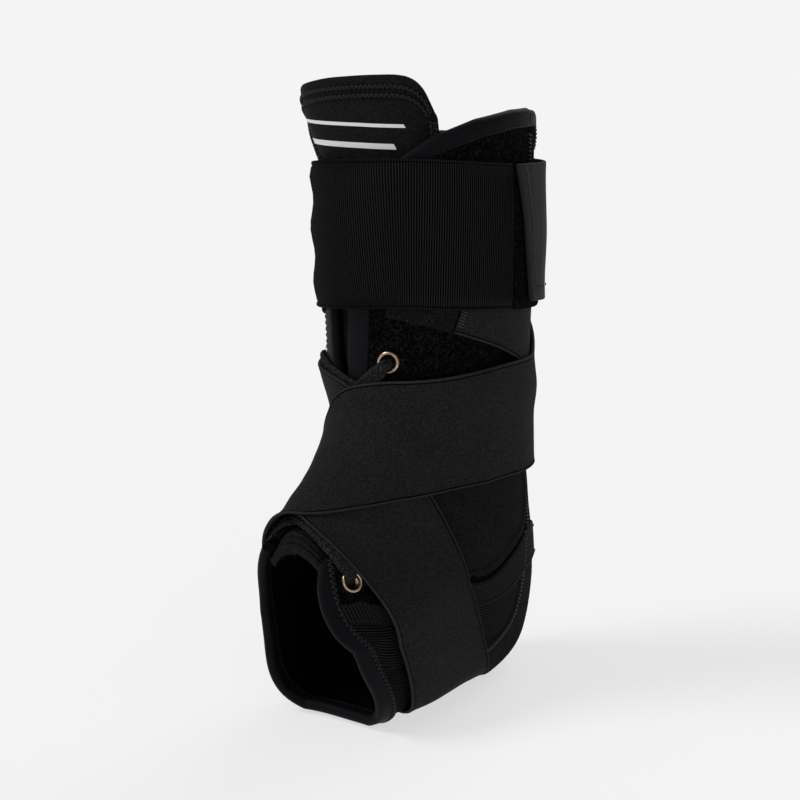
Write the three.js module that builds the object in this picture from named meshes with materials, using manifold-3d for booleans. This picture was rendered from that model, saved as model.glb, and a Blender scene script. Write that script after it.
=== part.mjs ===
import * as THREE from "three";
import Module from "manifold-3d";
import { mergeVertices } from "three/addons/utils/BufferGeometryUtils.js";

// Lace-up ankle brace with figure-eight straps, in millimetres.
// +X points to the toes, +Y to the wearer's left, +Z up. The sole rests on Z = 0, and the
// origin is the middle of the flat under the heel.
// Every piece lies on one form: a leg that turns into a foot. A place on the form is a
// station, from 0 above the cuff to 12 at the toe rim, and an angle round it in degrees:
// 0 at the front, 90 on the left side, 180 at the back or under the sole.

// Overall form
const FORM_HEIGHT = 275;
const FORM_LENGTH = 150;
const FORM_WIDTH = 84;
// From the middle of the heel's rest forward to the axis of the leg
const HEEL_TO_AXIS = 31;

// Walls
const PANEL_WALL = 4;
const TONGUE_WALL = 4;
const CUP_WALL = 2.4;
const PATCH_WALL = 1;
const BAND_WALL = 1.1;
const STRAP_WALL = 1.3;
const CUFF_WALL = 1.4;
const TAB_WALL = 1.6;
const LACE_WALL = 0.8;

// Widths and small parts
const STRAP_WIDTH = 50;
const CUFF_WIDTH = 61;
const LACE_WIDTH = 8;
const TOP_BINDING = 5.5;
const THROAT_BINDING = 9.5;
const EYELET_RADIUS = 4.7;
const EYELET_BORE = 2.8;
const EYELET_BARREL = 3.4;
const EYELET_FLANGE = 0.6;
const EYELETS_PER_SIDE = 6;

// Clearances between layers
const GAP = 0.5;
const STRAP_GAP = 0.9;
const BAND_GAP = 0.6;
const EDGE_GAP = 0.9;
// How far the fabric under the straps lies below the form, at the instep and the arch
const INSTEP_DROP = 5.1;
const ARCH_DROP = 3.4;
// Room that the straps leave for laces, eyelets, pockets and bands below them
const UNDER_STRAPS = 3.5;
// The back panel's top edge as a station, and how far it dips at the heel cord
const BACK_TOP = 0.64;
const BACK_DIP = 0.26;
// How far the top of the tongue flares away from the leg on the right side
const TONGUE_FLARE = 12.6;

const named = (names, rows) =>
  rows.map((row) => Object.fromEntries(names.map((n, i) => [n, row[i]])));

// Sections of the form. X as a share of FORM_LENGTH, Z of FORM_HEIGHT, half width and
// ridge shift of FORM_WIDTH. A squareness of 2 is an ellipse.
const SECTIONS = named(
  ["frontX", "frontZ", "backX", "backZ", "half", "frontSquare", "backSquare", "ridge"],
  [
    [0.32, 1.0, -0.32, 1.0, 0.5, 2.1, 2.1, 0],
    [0.32, 0.8545, -0.32, 0.8364, 0.5, 2.1, 2.1, 0],
    [0.3133, 0.6909, -0.3133, 0.6545, 0.476, 2.1, 2.1, 0],
    [0.3067, 0.5636, -0.3133, 0.4727, 0.452, 2.1, 2.1, 0],
    [0.32, 0.4909, -0.34, 0.3345, 0.429, 2.0, 2.1, 0],
    [0.3533, 0.4509, -0.38, 0.2255, 0.405, 2.0, 2.2, 0],
    [0.3867, 0.4255, -0.4, 0.1236, 0.381, 2.0, 2.3, 0.012],
    [0.4133, 0.4036, -0.34, 0.0291, 0.369, 2.0, 2.5, 0.024],
    [0.44, 0.3818, -0.1867, -0.0055, 0.369, 1.95, 2.8, 0.036],
    [0.4733, 0.36, 0, -0.0055, 0.381, 1.9, 3.0, 0.048],
    [0.5133, 0.3382, 0.1867, -0.0055, 0.393, 1.8, 3.2, 0.06],
    [0.5533, 0.32, 0.36, -0.0055, 0.381, 1.7, 3.2, 0.06],
    [0.62, 0.2982, 0.48, -0.004, 0.345, 1.6, 3.0, 0.06],
    [0.6733, 0.28, 0.5867, 0, 0.31, 1.5, 3.0, 0.06],
  ],
);

// Edges of the left side panel: its throat side and its back and lower side, row by row.
const PANEL = named(
  ["throatStation", "throatAngle", "outerStation", "outerAngle"],
  [
    [1.35, 20, 0.64, 111],
    [1.9, 11, 1.5, 113],
    [2.5, 8, 2.4, 116],
    [3.1, 7, 3.3, 119],
    [3.8, 6.5, 4.3, 122],
    [4.5, 7.5, 5.1, 123.3],
    [5.1, 9, 5.68, 120.5],
    [5.7, 11, 6.11, 111.6],
    [6.4, 14, 6.73, 102],
    [7.2, 18, 7.49, 93.5],
    [8.2, 25, 8.5, 87.5],
    [9.2, 31.5, 9.5, 81.5],
    [10.1, 37, 10.63, 74.2],
    [11.08, 42, 11.74, 63],
  ],
);

// The right side panel stops earlier, at its own toe rim.
const PANEL_RIGHT = [
  ...PANEL.slice(0, -1),
  { throatStation: 10.84, throatAngle: 42, outerStation: 10.92, outerAngle: 71.8 },
];

// Top edge of a side panel: station by angle.
const PANEL_TOP = named(
  ["angle", "station"],
  [[20, 1.35], [33, 1.08], [50, 0.88], [72, 0.73], [95, 0.65], [111, 0.64]],
);

// Line where the elastic cup takes over from the panels: station by angle.
const CUP_EDGE = named(
  ["angle", "station"],
  [
    [63.6, 11.74], [68.4, 11.3], [72.2, 10.95], [75.2, 10.63], [82.5, 9.5], [88.5, 8.5],
    [94.5, 7.49], [103, 6.73], [112.5, 6.11], [122, 5.68], [134, 5.38], [152, 5.25], [180, 5.2],
  ],
);

// Ribbed band that covers that line: its upper and lower edge.
const BAND = named(
  ["topStation", "topAngle", "lowStation", "lowAngle"],
  [
    [11.7, 58, 11.73, 69],
    [11.3, 61.5, 11.35, 72.5],
    [10.9, 64, 11.0, 76.5],
    [10.62, 68.5, 10.65, 81],
    [9.5, 77, 9.5, 88],
    [8.5, 83, 8.5, 94],
    [7.45, 90, 7.53, 99],
    [6.48, 100.5, 6.98, 105.5],
    [5.87, 109.5, 6.35, 116],
    [5.4, 118, 5.95, 126],
    [5.1, 130, 5.65, 138],
    [4.95, 150, 5.52, 155],
    [4.9, 180, 5.48, 180],
  ],
);

// Stay pocket on the side of the ankle: its front and back edge.
const POCKET = named(
  ["station", "frontAngle", "backAngle"],
  [
    [3.45, 72, 119], [4.2, 68, 120], [4.95, 66, 119], [5.4, 66, 115], [5.83, 66, 107.5],
    [6.48, 68, 98.5], [7.08, 72, 91.5], [7.5, 75, 87.5], [7.9, 78, 84],
  ],
);

// Toe opening: rear and front edge of its binding, by angle.
const TOE_RIM = named(
  ["angle", "rear", "front"],
  [
    [37, 11.0, 11.35], [47, 11.42, 11.95], [58, 11.78, 12.3], [74, 11.8, 12.3], [91, 11.45, 12.0],
    [100, 11.2, 11.65], [108, 11.1, 11.55], [140, 11.05, 11.5], [180, 11.0, 11.42],
    [220, 11.0, 11.42], [252, 11.0, 11.4], [269, 10.98, 11.38], [286, 11.0, 11.4],
    [302, 11.05, 11.45], [313, 11.0, 11.42], [323, 10.88, 11.3],
  ],
);

// Sides of the tongue, by station.
const TONGUE = named(
  ["station", "rightAngle", "leftAngle"],
  [
    [0.1, -72, 51], [0.6, -71, 51], [0.75, -65, 52], [0.9, -56, 52], [1.1, -45, 51], [1.3, -36, 50],
    [1.5, -30, 48], [1.8, -24, 45], [2.1, -26, 41], [2.5, -36, 36], [3.2, -41, 32], [4, -42, 30],
    [6, -38, 30], [8, -40, 38], [10, -45, 45], [11.3, -46, 46],
  ],
);

// Top edge of the tongue, from its right edge to its left one.
const TONGUE_TOP = named(
  ["share", "station"],
  [
    [0, 0.68], [0.12, 0.44], [0.24, 0.29], [0.42, 0.2], [0.6, 0.165], [0.78, 0.15], [0.87, 0.18],
    [0.93, 0.28], [0.97, 0.43], [1, 0.68],
  ],
);

// Centre line of the outer figure-eight strap, from under the sole to its end.
const STRAP_ROUTE = named(
  ["station", "angle"],
  [
    [9.5, -179.2], [9.5, -150], [9.5, -119], [9.3, -97], [8.92, -81], [8.45, -61], [8.02, -42],
    [7.52, -24], [6.75, -7], [5.87, 10], [5.15, 25], [4.62, 41], [4.13, 59], [3.78, 77], [3.5, 97],
    [3.27, 126], [2.97, 152], [2.68, 180], [2.4, 217], [2.15, 255], [1.98, 288], [1.89, 314],
    [1.84, 336],
  ],
);

// Centre line of the cuff, from its left end round the front, right side and back.
const CUFF_ROUTE = named(
  ["station", "angle"],
  [
    [1.63, 88], [1.62, 60], [1.62, 30], [1.65, 5], [1.71, -40], [1.71, -90], [1.68, -140],
    [1.66, -180], [1.64, -218],
  ],
);

const EYELET_LINE = named(
  ["station", "angle"],
  [[3.05, 22], [4, 20], [6, 22], [8, 32], [9.6, 44], [10.98, 54]],
);

// Small helpers
const clamp = (x, lo, hi) => Math.min(hi, Math.max(lo, x));
const mix = (a, b, f) => a + (b - a) * f;
const ease = (x, from, to) => {
  const f = clamp((x - from) / (to - from), 0, 1);
  return f * f * (3 - 2 * f);
};
const lookUp = (table, key, value, x) => {
  let i = 0;
  while (i < table.length - 2 && table[i + 1][key] < x) i++;
  const a = table[i];
  const b = table[i + 1];
  return mix(a[value], b[value], clamp((x - a[key]) / (b[key] - a[key]), 0, 1));
};
// Value of one column of a table at a fractional row, as a smooth curve through the rows
const smooth = (table, column, row) => {
  const last = table.length - 1;
  const at = clamp(row, 0, last - 1e-9);
  const i = Math.floor(at);
  const f = at - i;
  const p1 = table[i][column];
  const p2 = table[i + 1][column];
  const p0 = i > 0 ? table[i - 1][column] : 2 * p1 - p2;
  const p3 = i + 2 <= last ? table[i + 2][column] : 2 * p2 - p1;
  return (
    0.5 *
    (2 * p1 + (p2 - p0) * f + (2 * p0 - 5 * p1 + 4 * p2 - p3) * f * f +
      (3 * p1 - p0 - 3 * p2 + p3) * f * f * f)
  );
};

// The form
function form(station, angle) {
  const col = (name) => smooth(SECTIONS, name, station);
  const c = Math.cos((angle * Math.PI) / 180);
  const s = Math.sin((angle * Math.PI) / 180);
  const square = c >= 0 ? col("frontSquare") : col("backSquare");
  const along = Math.sign(c) * Math.abs(c) ** (2 / square);
  const across = Math.sign(s) * Math.abs(s) ** (2 / square);
  const x = HEEL_TO_AXIS + mix(col("backX"), col("frontX"), (1 + along) / 2) * FORM_LENGTH;
  const z = mix(col("backZ"), col("frontZ"), (1 + along) / 2) * FORM_HEIGHT;
  const y = (col("half") * across - col("ridge") * Math.max(c, 0)) * FORM_WIDTH;
  return new THREE.Vector3(x, y, Math.max(z, 0));
}

function slopes(station, angle) {
  const e = 0.02;
  const g = 1.0;
  const ds = form(station + e, angle).sub(form(station - e, angle)).divideScalar(2 * e);
  const da = form(station, angle + g).sub(form(station, angle - g)).divideScalar(2 * g);
  return { ds, da, out: new THREE.Vector3().crossVectors(ds, da).normalize() };
}

function drop(station, angle) {
  const turn = Math.abs(((((angle + 180) % 360) + 360) % 360) - 180);
  const instep =
    ease(station, 3.0, 4.4) * (1 - ease(station, 9.6, 11.2)) * (1 - ease(turn, 55, 85));
  const arch =
    ease(station, 8.1, 8.5) * (1 - ease(station, 10.5, 10.95)) * ease(turn, 132, 152);
  return INSTEP_DROP * instep + ARCH_DROP * arch;
}

const place = (station, angle, lift) =>
  form(station, angle).addScaledVector(slopes(station, angle).out, lift - drop(station, angle));

// Walks over the form from a place, in a direction that is kept in the surface.
function walk(start, direction, distance) {
  let [station, angle] = start;
  const dir = direction.clone();
  const steps = Math.max(1, Math.ceil(Math.abs(distance) / 2));
  for (let i = 0; i < steps; i++) {
    const { ds, da, out } = slopes(station, angle);
    dir.addScaledVector(out, -dir.dot(out)).normalize();
    const ss = ds.dot(ds);
    const sa = ds.dot(da);
    const aa = da.dot(da);
    const det = ss * aa - sa * sa;
    const bs = dir.dot(ds);
    const ba = dir.dot(da);
    const step = distance / steps;
    station += (step * (bs * aa - ba * sa)) / det;
    angle += (step * (ba * ss - bs * sa)) / det;
  }
  return [station, angle];
}

// Solids
function closed(points, faces, color) {
  const g = new THREE.BufferGeometry();
  g.setAttribute("position", new THREE.Float32BufferAttribute(points.flatMap((p) => p.toArray()), 3));
  let volume = 0;
  for (const [a, b, c] of faces)
    volume += points[a].dot(new THREE.Vector3().crossVectors(points[b], points[c]));
  const index = faces.flatMap(([a, b, c]) => (volume > 0 ? [a, b, c] : [a, c, b]));
  g.setIndex(index);
  g.computeVertexNormals();
  return g;
}

// A closed sheet over a grid of places, between two lifts above the fabric.
function sheet(grid, low, high) {
  const rows = grid.length;
  const cols = grid[0].length;
  const lift = (f, place) => (typeof f === "function" ? f(...place) : f);
  const points = [];
  for (const side of [low, high])
    for (const row of grid) for (const p of row) points.push(place(p[0], p[1], lift(side, p)));
  const at = (side, i, j) => side * rows * cols + i * cols + j;
  const faces = [];
  const quad = (a, b, c, d) => faces.push([a, b, c], [a, c, d]);
  for (let i = 0; i + 1 < rows; i++)
    for (let j = 0; j + 1 < cols; j++) {
      quad(at(1, i, j), at(1, i + 1, j), at(1, i + 1, j + 1), at(1, i, j + 1));
      quad(at(0, i, j), at(0, i, j + 1), at(0, i + 1, j + 1), at(0, i + 1, j));
    }
  for (let i = 0; i + 1 < rows; i++) {
    quad(at(0, i, 0), at(0, i + 1, 0), at(1, i + 1, 0), at(1, i, 0));
    quad(at(1, i, cols - 1), at(1, i + 1, cols - 1), at(0, i + 1, cols - 1), at(0, i, cols - 1));
  }
  for (let j = 0; j + 1 < cols; j++) {
    quad(at(1, 0, j), at(1, 0, j + 1), at(0, 0, j + 1), at(0, 0, j));
    quad(at(0, rows - 1, j), at(0, rows - 1, j + 1), at(1, rows - 1, j + 1), at(1, rows - 1, j));
  }
  return closed(points, faces);
}

const gridOf = (rows, cols, at) =>
  Array.from({ length: rows + 1 }, (_, i) =>
    Array.from({ length: cols + 1 }, (_, j) => at(i / rows, j / cols)),
  );

const wasm = await Module();
wasm.setup();
function solid(geometry) {
  const bare = geometry.clone();
  bare.deleteAttribute("normal");
  bare.deleteAttribute("uv");
  const merged = mergeVertices(bare, 1e-4);
  return new wasm.Manifold(
    new wasm.Mesh({
      numProp: 3,
      vertProperties: merged.attributes.position.array,
      triVerts: new Uint32Array(merged.index.array),
    }),
  );
}
function geometryOf(manifold) {
  const m = manifold.getMesh();
  const g = new THREE.BufferGeometry();
  g.setAttribute("position", new THREE.Float32BufferAttribute(m.vertProperties, 3));
  g.setIndex([...m.triVerts]);
  g.computeVertexNormals();
  return g;
}

const FABRICS = {
  velour: 0x17171b,
  tape: 0x26242e,
  padding: 0x1d1d22,
  ribbed: 0x202024,
  twill: 0x1b1b1f,
  webbing: 0x2c2c30,
  elastic: 0x34353a,
  brass: 0xb9975a,
  cord: 0x2a2a2c,
};
const brace = new THREE.Group();
// Facets that lie within FACET of a plane are merged.
const FACET = 0.05;
function add(name, geometry, fabric) {
  const material = new THREE.MeshStandardMaterial({ color: FABRICS[fabric], roughness: 0.9 });
  material.name = fabric;
  if (fabric === "brass") material.metalness = 1;
  const mesh = new THREE.Mesh(geometryOf(solid(geometry).simplify(FACET)), material);
  mesh.name = name;
  brace.add(mesh);
}

// Side +1 is the left side, -1 the right. The throat leans to the right on the shin.
const throatShift = (station) => 28 * (1 - ease(station, 3, 9));
const sided = (side, station, angle) =>
  side > 0 ? angle : -angle - throatShift(station) * (1 - ease(angle, 20, 104));
const rimAngle = (angle) => ((angle % 360) + 360) % 360;
const rimRear = (angle) => lookUp(TOE_RIM, "angle", "rear", rimAngle(angle)) - 0.04;

// Side panels
const panelEdge = (side, u, v) => {
  const table = side > 0 ? PANEL : PANEL_RIGHT;
  const row = v * (PANEL.length - 1);
  const name = u ? "outer" : "throat";
  const station = smooth(table, name + "Station", row);
  return [station, sided(side, station, smooth(table, name + "Angle", row))];
};
const panelPlace = (side, u, v) => {
  const a = panelEdge(side, 0, v);
  const b = panelEdge(side, 1, v);
  const at = [mix(a[0], b[0], u), mix(a[1], b[1], u)];
  const first = [panelEdge(side, 0, 0), panelEdge(side, 1, 0)];
  const last = [panelEdge(side, 0, 1), panelEdge(side, 1, 1)];
  const topAngle = mix(20, 111, u);
  const top = [lookUp(PANEL_TOP, "angle", "station", topAngle), sided(side, 1, topAngle)];
  const toeAngle = mix(last[0][1], last[1][1], u);
  const toe = [rimRear(toeAngle), toeAngle];
  return at.map(
    (x, k) =>
      x +
      (top[k] - mix(first[0][k], first[1][k], u)) * (1 - v) ** 3 +
      (toe[k] - mix(last[0][k], last[1][k], u)) * v ** 6,
  );
};

const eyeletAt = (() => {
  const steps = 200;
  const lengths = [0];
  const spot = (f) => {
    const row = f * (EYELET_LINE.length - 1);
    return [smooth(EYELET_LINE, "station", row), smooth(EYELET_LINE, "angle", row)];
  };
  for (let i = 1; i <= steps; i++)
    lengths.push(lengths[i - 1] + form(...spot(i / steps)).distanceTo(form(...spot((i - 1) / steps))));
  return (side, i) => {
    const want = (lengths[steps] * i) / (EYELETS_PER_SIDE - 1);
    let k = 1;
    while (k < steps && lengths[k] < want) k++;
    const f = (k - 1 + (want - lengths[k - 1]) / (lengths[k] - lengths[k - 1])) / steps;
    const [station, angle] = spot(f);
    return [side < 0 ? station - 0.45 * ease(station, 9, 11) : station, sided(side, station, angle)];
  };
})();

function upright(at, lift) {
  const { out } = slopes(...at);
  const turn = new THREE.Quaternion().setFromUnitVectors(new THREE.Vector3(0, 0, 1), out);
  return new THREE.Matrix4().compose(place(at[0], at[1], lift), turn, new THREE.Vector3(1, 1, 1));
}

const SIDES = [["left", 1], ["right", -1]];
const clearOfLace = [];
const PANEL_ROWS = 24;
const PANEL_COLUMNS = 12;
const EYELET_SIDES = 8;
for (const [name, side] of SIDES) {
  let panel = solid(
    sheet(gridOf(PANEL_ROWS, PANEL_COLUMNS, (v, u) => panelPlace(side, u, v)), -PANEL_WALL, 0),
  );
  for (let i = 0; i < EYELETS_PER_SIDE; i++) {
    // The fabric is punched for the barrel and pressed flat under the flange.
    const holes = [[EYELET_BARREL + 0.3, -2 * PANEL_WALL], [EYELET_RADIUS + 0.4, 0]];
    for (const [radius, low] of holes) {
      const height = PANEL_WALL - low;
      const hole = new THREE.CylinderGeometry(radius, radius, height, EYELET_SIDES)
        .rotateX(Math.PI / 2)
        .translate(0, 0, low + height / 2);
      panel = panel.subtract(solid(hole.applyMatrix4(upright(eyeletAt(side, i), 0))));
    }
  }
  add(name + "_side_panel", geometryOf(panel), "velour");

  // Binding along the top edge and down the throat
  const alongTop = gridOf(PANEL_COLUMNS, 0, (t) => panelPlace(side, 1 - t, 0));
  const downThroat = gridOf(PANEL_ROWS - 1, 0, (t) =>
    panelPlace(side, 0, (t * (PANEL_ROWS - 1)) / PANEL_ROWS),
  );
  const edge = [...alongTop, ...downThroat.slice(1)].map((row) => row[0]);
  const strip = edge.map((at, i) => {
    const before = form(...edge[Math.max(i - 1, 0)]);
    const after = form(...edge[Math.min(i + 1, edge.length - 1)]);
    const away = new THREE.Vector3().crossVectors(after.sub(before), slopes(...at).out);
    const width = mix(TOP_BINDING, THROAT_BINDING, ease(at[0], 1.2, 2.2));
    const narrow = mix(width, TOP_BINDING, ease(at[0], 4, 6));
    return [walk(at, away, side * EDGE_GAP), walk(at, away, side * (EDGE_GAP + narrow))];
  });
  add(name + "_edge_binding", sheet(strip, -PANEL_WALL - 0.1, 0.1), "tape");
  clearOfLace.push(solid(sheet(strip, -PANEL_WALL, 0.4)));
}

// Back panel between the side panels, and its binding
const backStart = (station) => {
  let row = 0;
  while (row < 5 && PANEL[row + 1].outerStation < station) row++;
  const a = PANEL[row];
  const b = PANEL[row + 1];
  return mix(a.outerAngle, b.outerAngle,
    clamp((station - a.outerStation) / (b.outerStation - a.outerStation), 0, 1)) + 0.9;
};
// Its top edge dips between its two corners, where the heel cord runs.
const backEdge = (u) => BACK_TOP + BACK_DIP * ease(1 - Math.abs(1 - 2 * u), 0.12, 0.45);
const backPlace = (v, u) => {
  const low = lookUp(CUP_EDGE, "angle", "station", 180 - Math.abs(1 - 2 * u) * 55) - 0.03;
  const station = mix(backEdge(u), low, v);
  return [station, mix(backStart(station), 360 - backStart(station), u)];
};
add("back_panel", sheet(gridOf(13, 14, backPlace), -PANEL_WALL, 0), "velour");
const backTop = (v, u) => {
  const start = backStart(backEdge(u));
  return [backEdge(u) - mix(0.015, 0.14, v), mix(start, 360 - start, u)];
};
add("back_edge_binding", sheet(gridOf(1, 14, backTop), -PANEL_WALL - 0.1, 0.1), "tape");

// Elastic cup round the heel and under the foot
const cupPlace = (v, u) => {
  const angle = mix(66, 287, u);
  const edge = lookUp(CUP_EDGE, "angle", "station", angle > 180 ? 360 - angle : angle) + 0.03;
  return [mix(edge, rimRear(angle), v), angle];
};
add("heel_and_sole_cup", sheet(gridOf(16, 26, cupPlace), -CUP_WALL, 0), "ribbed");

// Toe binding
const toePlace = (v, u) => {
  const angle = mix(38, 322, u);
  const rim = (column) => lookUp(TOE_RIM, "angle", column, angle);
  return [mix(rim("rear"), rim("front"), v), angle];
};
add("toe_binding", sheet(gridOf(1, 40, toePlace), -PANEL_WALL, 0), "tape");

// Ribbed bands over the line between panels and cup
const bandPlace = (v, u) => {
  const turn = 2 * u - 1;
  const row = (1 - Math.abs(turn)) * (BAND.length - 1);
  const kept = turn > 0 ? Math.max(row, 2.3) : row;
  const at = (edge) => [smooth(BAND, edge + "Station", kept), smooth(BAND, edge + "Angle", kept)];
  const a = at("top");
  const b = at("low");
  const angle = mix(a[1], b[1], v);
  return [mix(a[0], b[0], v), turn > 0 ? 360 - angle : angle];
};
const bandStops = Array.from({ length: 45 }, (_, i) => i / 44).filter(
  (u) => (1 - (2 * u - 1)) * (BAND.length - 1) > 2.3 || u < 0.5,
);
add("ankle_band", sheet(bandStops.map((u) => [0, 0.5, 1].map((v) => bandPlace(v, u))), BAND_GAP,
  BAND_GAP + BAND_WALL), "webbing");

// Stay pockets
for (const [name, side] of SIDES) {
  const pocket = (v, u) => {
    const row = v * (POCKET.length - 1);
    const angle = mix(smooth(POCKET, "frontAngle", row), smooth(POCKET, "backAngle", row), u);
    return [smooth(POCKET, "station", row), side * angle];
  };
  add(name + "_stay_pocket", sheet(gridOf(12, 5, pocket), GAP, GAP + PATCH_WALL), "twill");
}

// Tongue
const flare = (station, angle) =>
  TONGUE_FLARE * (1 - ease(station, 0.25, 1.6)) * (1 - ease(angle, -50, 5));
const tonguePlace = (v, u) => {
  const top = lookUp(TONGUE_TOP, "share", "station", u);
  const station = mix(top, 11.3, v ** 1.25);
  const side = (name) => lookUp(TONGUE, "station", name, station);
  return [station, mix(side("rightAngle"), side("leftAngle"), u)];
};
const underPanel = (station, angle) => flare(station, angle) - PANEL_WALL - 0.8;
add("tongue", sheet(gridOf(27, 9, tonguePlace), (s, a) => underPanel(s, a) - TONGUE_WALL,
  underPanel), "padding");

// Straps: ribbons along a centre line
function routeAt(route, mirrored) {
  const side = mirrored ? -1 : 1;
  const spot = (row) => [smooth(route, "station", row), side * smooth(route, "angle", row)];
  const rowOf = (angle) => {
    let lo = 0;
    let hi = route.length - 1;
    const rising = route[hi].angle > route[0].angle;
    for (let i = 0; i < 40; i++) {
      const mid = (lo + hi) / 2;
      if (smooth(route, "angle", mid) < angle === rising) lo = mid;
      else hi = mid;
    }
    return lo;
  };
  return { spot, rowOf };
}
function ribbon(line, width, fromAngle, toAngle, lengthSteps, acrossSteps) {
  const first = line.rowOf(fromAngle);
  const last = line.rowOf(toAngle);
  return gridOf(lengthSteps, 0, (t) => mix(first, last, t)).map(([row]) => {
    const at = line.spot(row);
    const along = form(...line.spot(row + 0.02)).sub(form(...line.spot(row - 0.02)));
    const across = new THREE.Vector3().crossVectors(slopes(...at).out, along);
    return Array.from({ length: acrossSteps + 1 }, (_, j) =>
      walk(at, across, (j / acrossSteps - 0.5) * width),
    );
  });
}
// How much of a strap lies below a place: 1 on it, 0 clear of it.
function cover(line, width, fromAngle, toAngle) {
  const first = line.rowOf(fromAngle);
  const last = line.rowOf(toAngle);
  const centre = Array.from({ length: 121 }, (_, i) => form(...line.spot(mix(first, last, i / 120))));
  return (station, angle) => {
    const p = form(station, angle);
    const d = Math.min(...centre.map((c) => c.distanceTo(p)));
    return 1 - ease(d, width / 2 + 1, width / 2 + 9);
  };
}
const outerLine = routeAt(STRAP_ROUTE, false);
const innerLine = routeAt(STRAP_ROUTE, true);
const SEWN = -179.2;
const TAB_SEAM = 291;
const OUTER_END = 318;
const INNER_END = 334;
const turned = (angle) => Math.abs(((((angle + 180) % 360) + 360) % 360) - 180);
const overFabric = (station, angle) =>
  STRAP_GAP +
  0.2 * ease(station, 7, 8) +
  (UNDER_STRAPS - STRAP_GAP) * ease(station, 2.5, 3.2) * (1 - ease(turned(angle), 122, 140));
const onInner = cover(innerLine, STRAP_WIDTH, -112, INNER_END);
const onOuter = cover(outerLine, STRAP_WIDTH, 60, OUTER_END);
const overInner = (station, angle) =>
  overFabric(station, angle) + (STRAP_WALL + STRAP_GAP + 0.1) * onInner(station, angle);
for (const [name, line, lift, end] of [
  ["inner", innerLine, overFabric, INNER_END],
  ["outer", outerLine, overInner, OUTER_END],
]) {
  const top = (s, a) => lift(s, a) + STRAP_WALL;
  const main = ribbon(line, STRAP_WIDTH, SEWN, TAB_SEAM, 50, 6);
  add(name + "_strap", sheet(main, lift, top), "elastic");
  clearOfLace.push(solid(sheet(main.slice(8, 32), (s, a) => lift(s, a) - 0.4, (s, a) => top(s, a) + 2)));
  add(name + "_strap_tab", sheet(ribbon(line, STRAP_WIDTH, TAB_SEAM + 0.8, end, 4, 6), lift, top),
    "velour");
}

// Cuff over both strap ends, with its base and closing tab
const cuffLine = routeAt(CUFF_ROUTE, false);
const overStraps = (station, angle) => {
  const below = onInner(station, angle) + onOuter(station, angle);
  const slack = 1.8 * (1 - ease(station, 1.0, 2.2)) * (1 - ease(Math.abs(angle + 55), 20, 50));
  return STRAP_GAP + (STRAP_WALL + STRAP_GAP + 0.1) * below + slack;
};
const CUFF_END = 88;
const CUFF_TAIL = -218;
const cuffTop = (s, a) => overStraps(s, a) + CUFF_WALL;
const cuffGrid = ribbon(cuffLine, CUFF_WIDTH, CUFF_END, CUFF_TAIL, 38, 6);
add("cuff_strap", sheet(cuffGrid, overStraps, cuffTop), "elastic");
const basePlace = (v, u) => {
  const start = cuffGrid[0][Math.round(6 * v)];
  const tail = cuffGrid[38][Math.round(6 * v)];
  const f = mix(0.02, 0.98, u);
  return [mix(start[0], tail[0], f), mix(start[1], tail[1] + 360, f)];
};
add("cuff_base", sheet(gridOf(6, 6, basePlace), overStraps, (s, a) => cuffTop(s, a) - 0.2),
  "velour");
const tabPlace = (v, u) => {
  const station = mix(1.0, 2.2, v);
  return [station, mix(mix(95.5, 118, v), 168, u)];
};
const tabLift = (s, a) => cuffTop(s, a) + STRAP_GAP + 2 * ease(a, 100, 124) * (1 - ease(a, 138, 164));
add("cuff_tab", sheet(gridOf(6, 9, tabPlace), tabLift, (s, a) => tabLift(s, a) + TAB_WALL),
  "webbing");

// Eyelets
for (const [name, side] of SIDES)
  for (let i = 0; i < EYELETS_PER_SIDE; i++) {
    const profile = [
      [EYELET_BORE, 0.3 - PANEL_WALL], [EYELET_BARREL, 0.3 - PANEL_WALL], [EYELET_BARREL, 0.3],
      [EYELET_RADIUS, 0.3], [EYELET_RADIUS - 0.5, 0.3 + EYELET_FLANGE],
      [EYELET_BORE, 0.3 + EYELET_FLANGE], [EYELET_BORE, 0.3 - PANEL_WALL],
    ].map(([r, h]) => new THREE.Vector2(r, h));
    const ring = new THREE.LatheGeometry(profile, EYELET_SIDES).rotateX(Math.PI / 2);
    const made = geometryOf(solid(ring));
    add(name + "_eyelet_" + (i + 1), made.applyMatrix4(upright(eyeletAt(side, i), 0)), "brass");
  }

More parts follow.
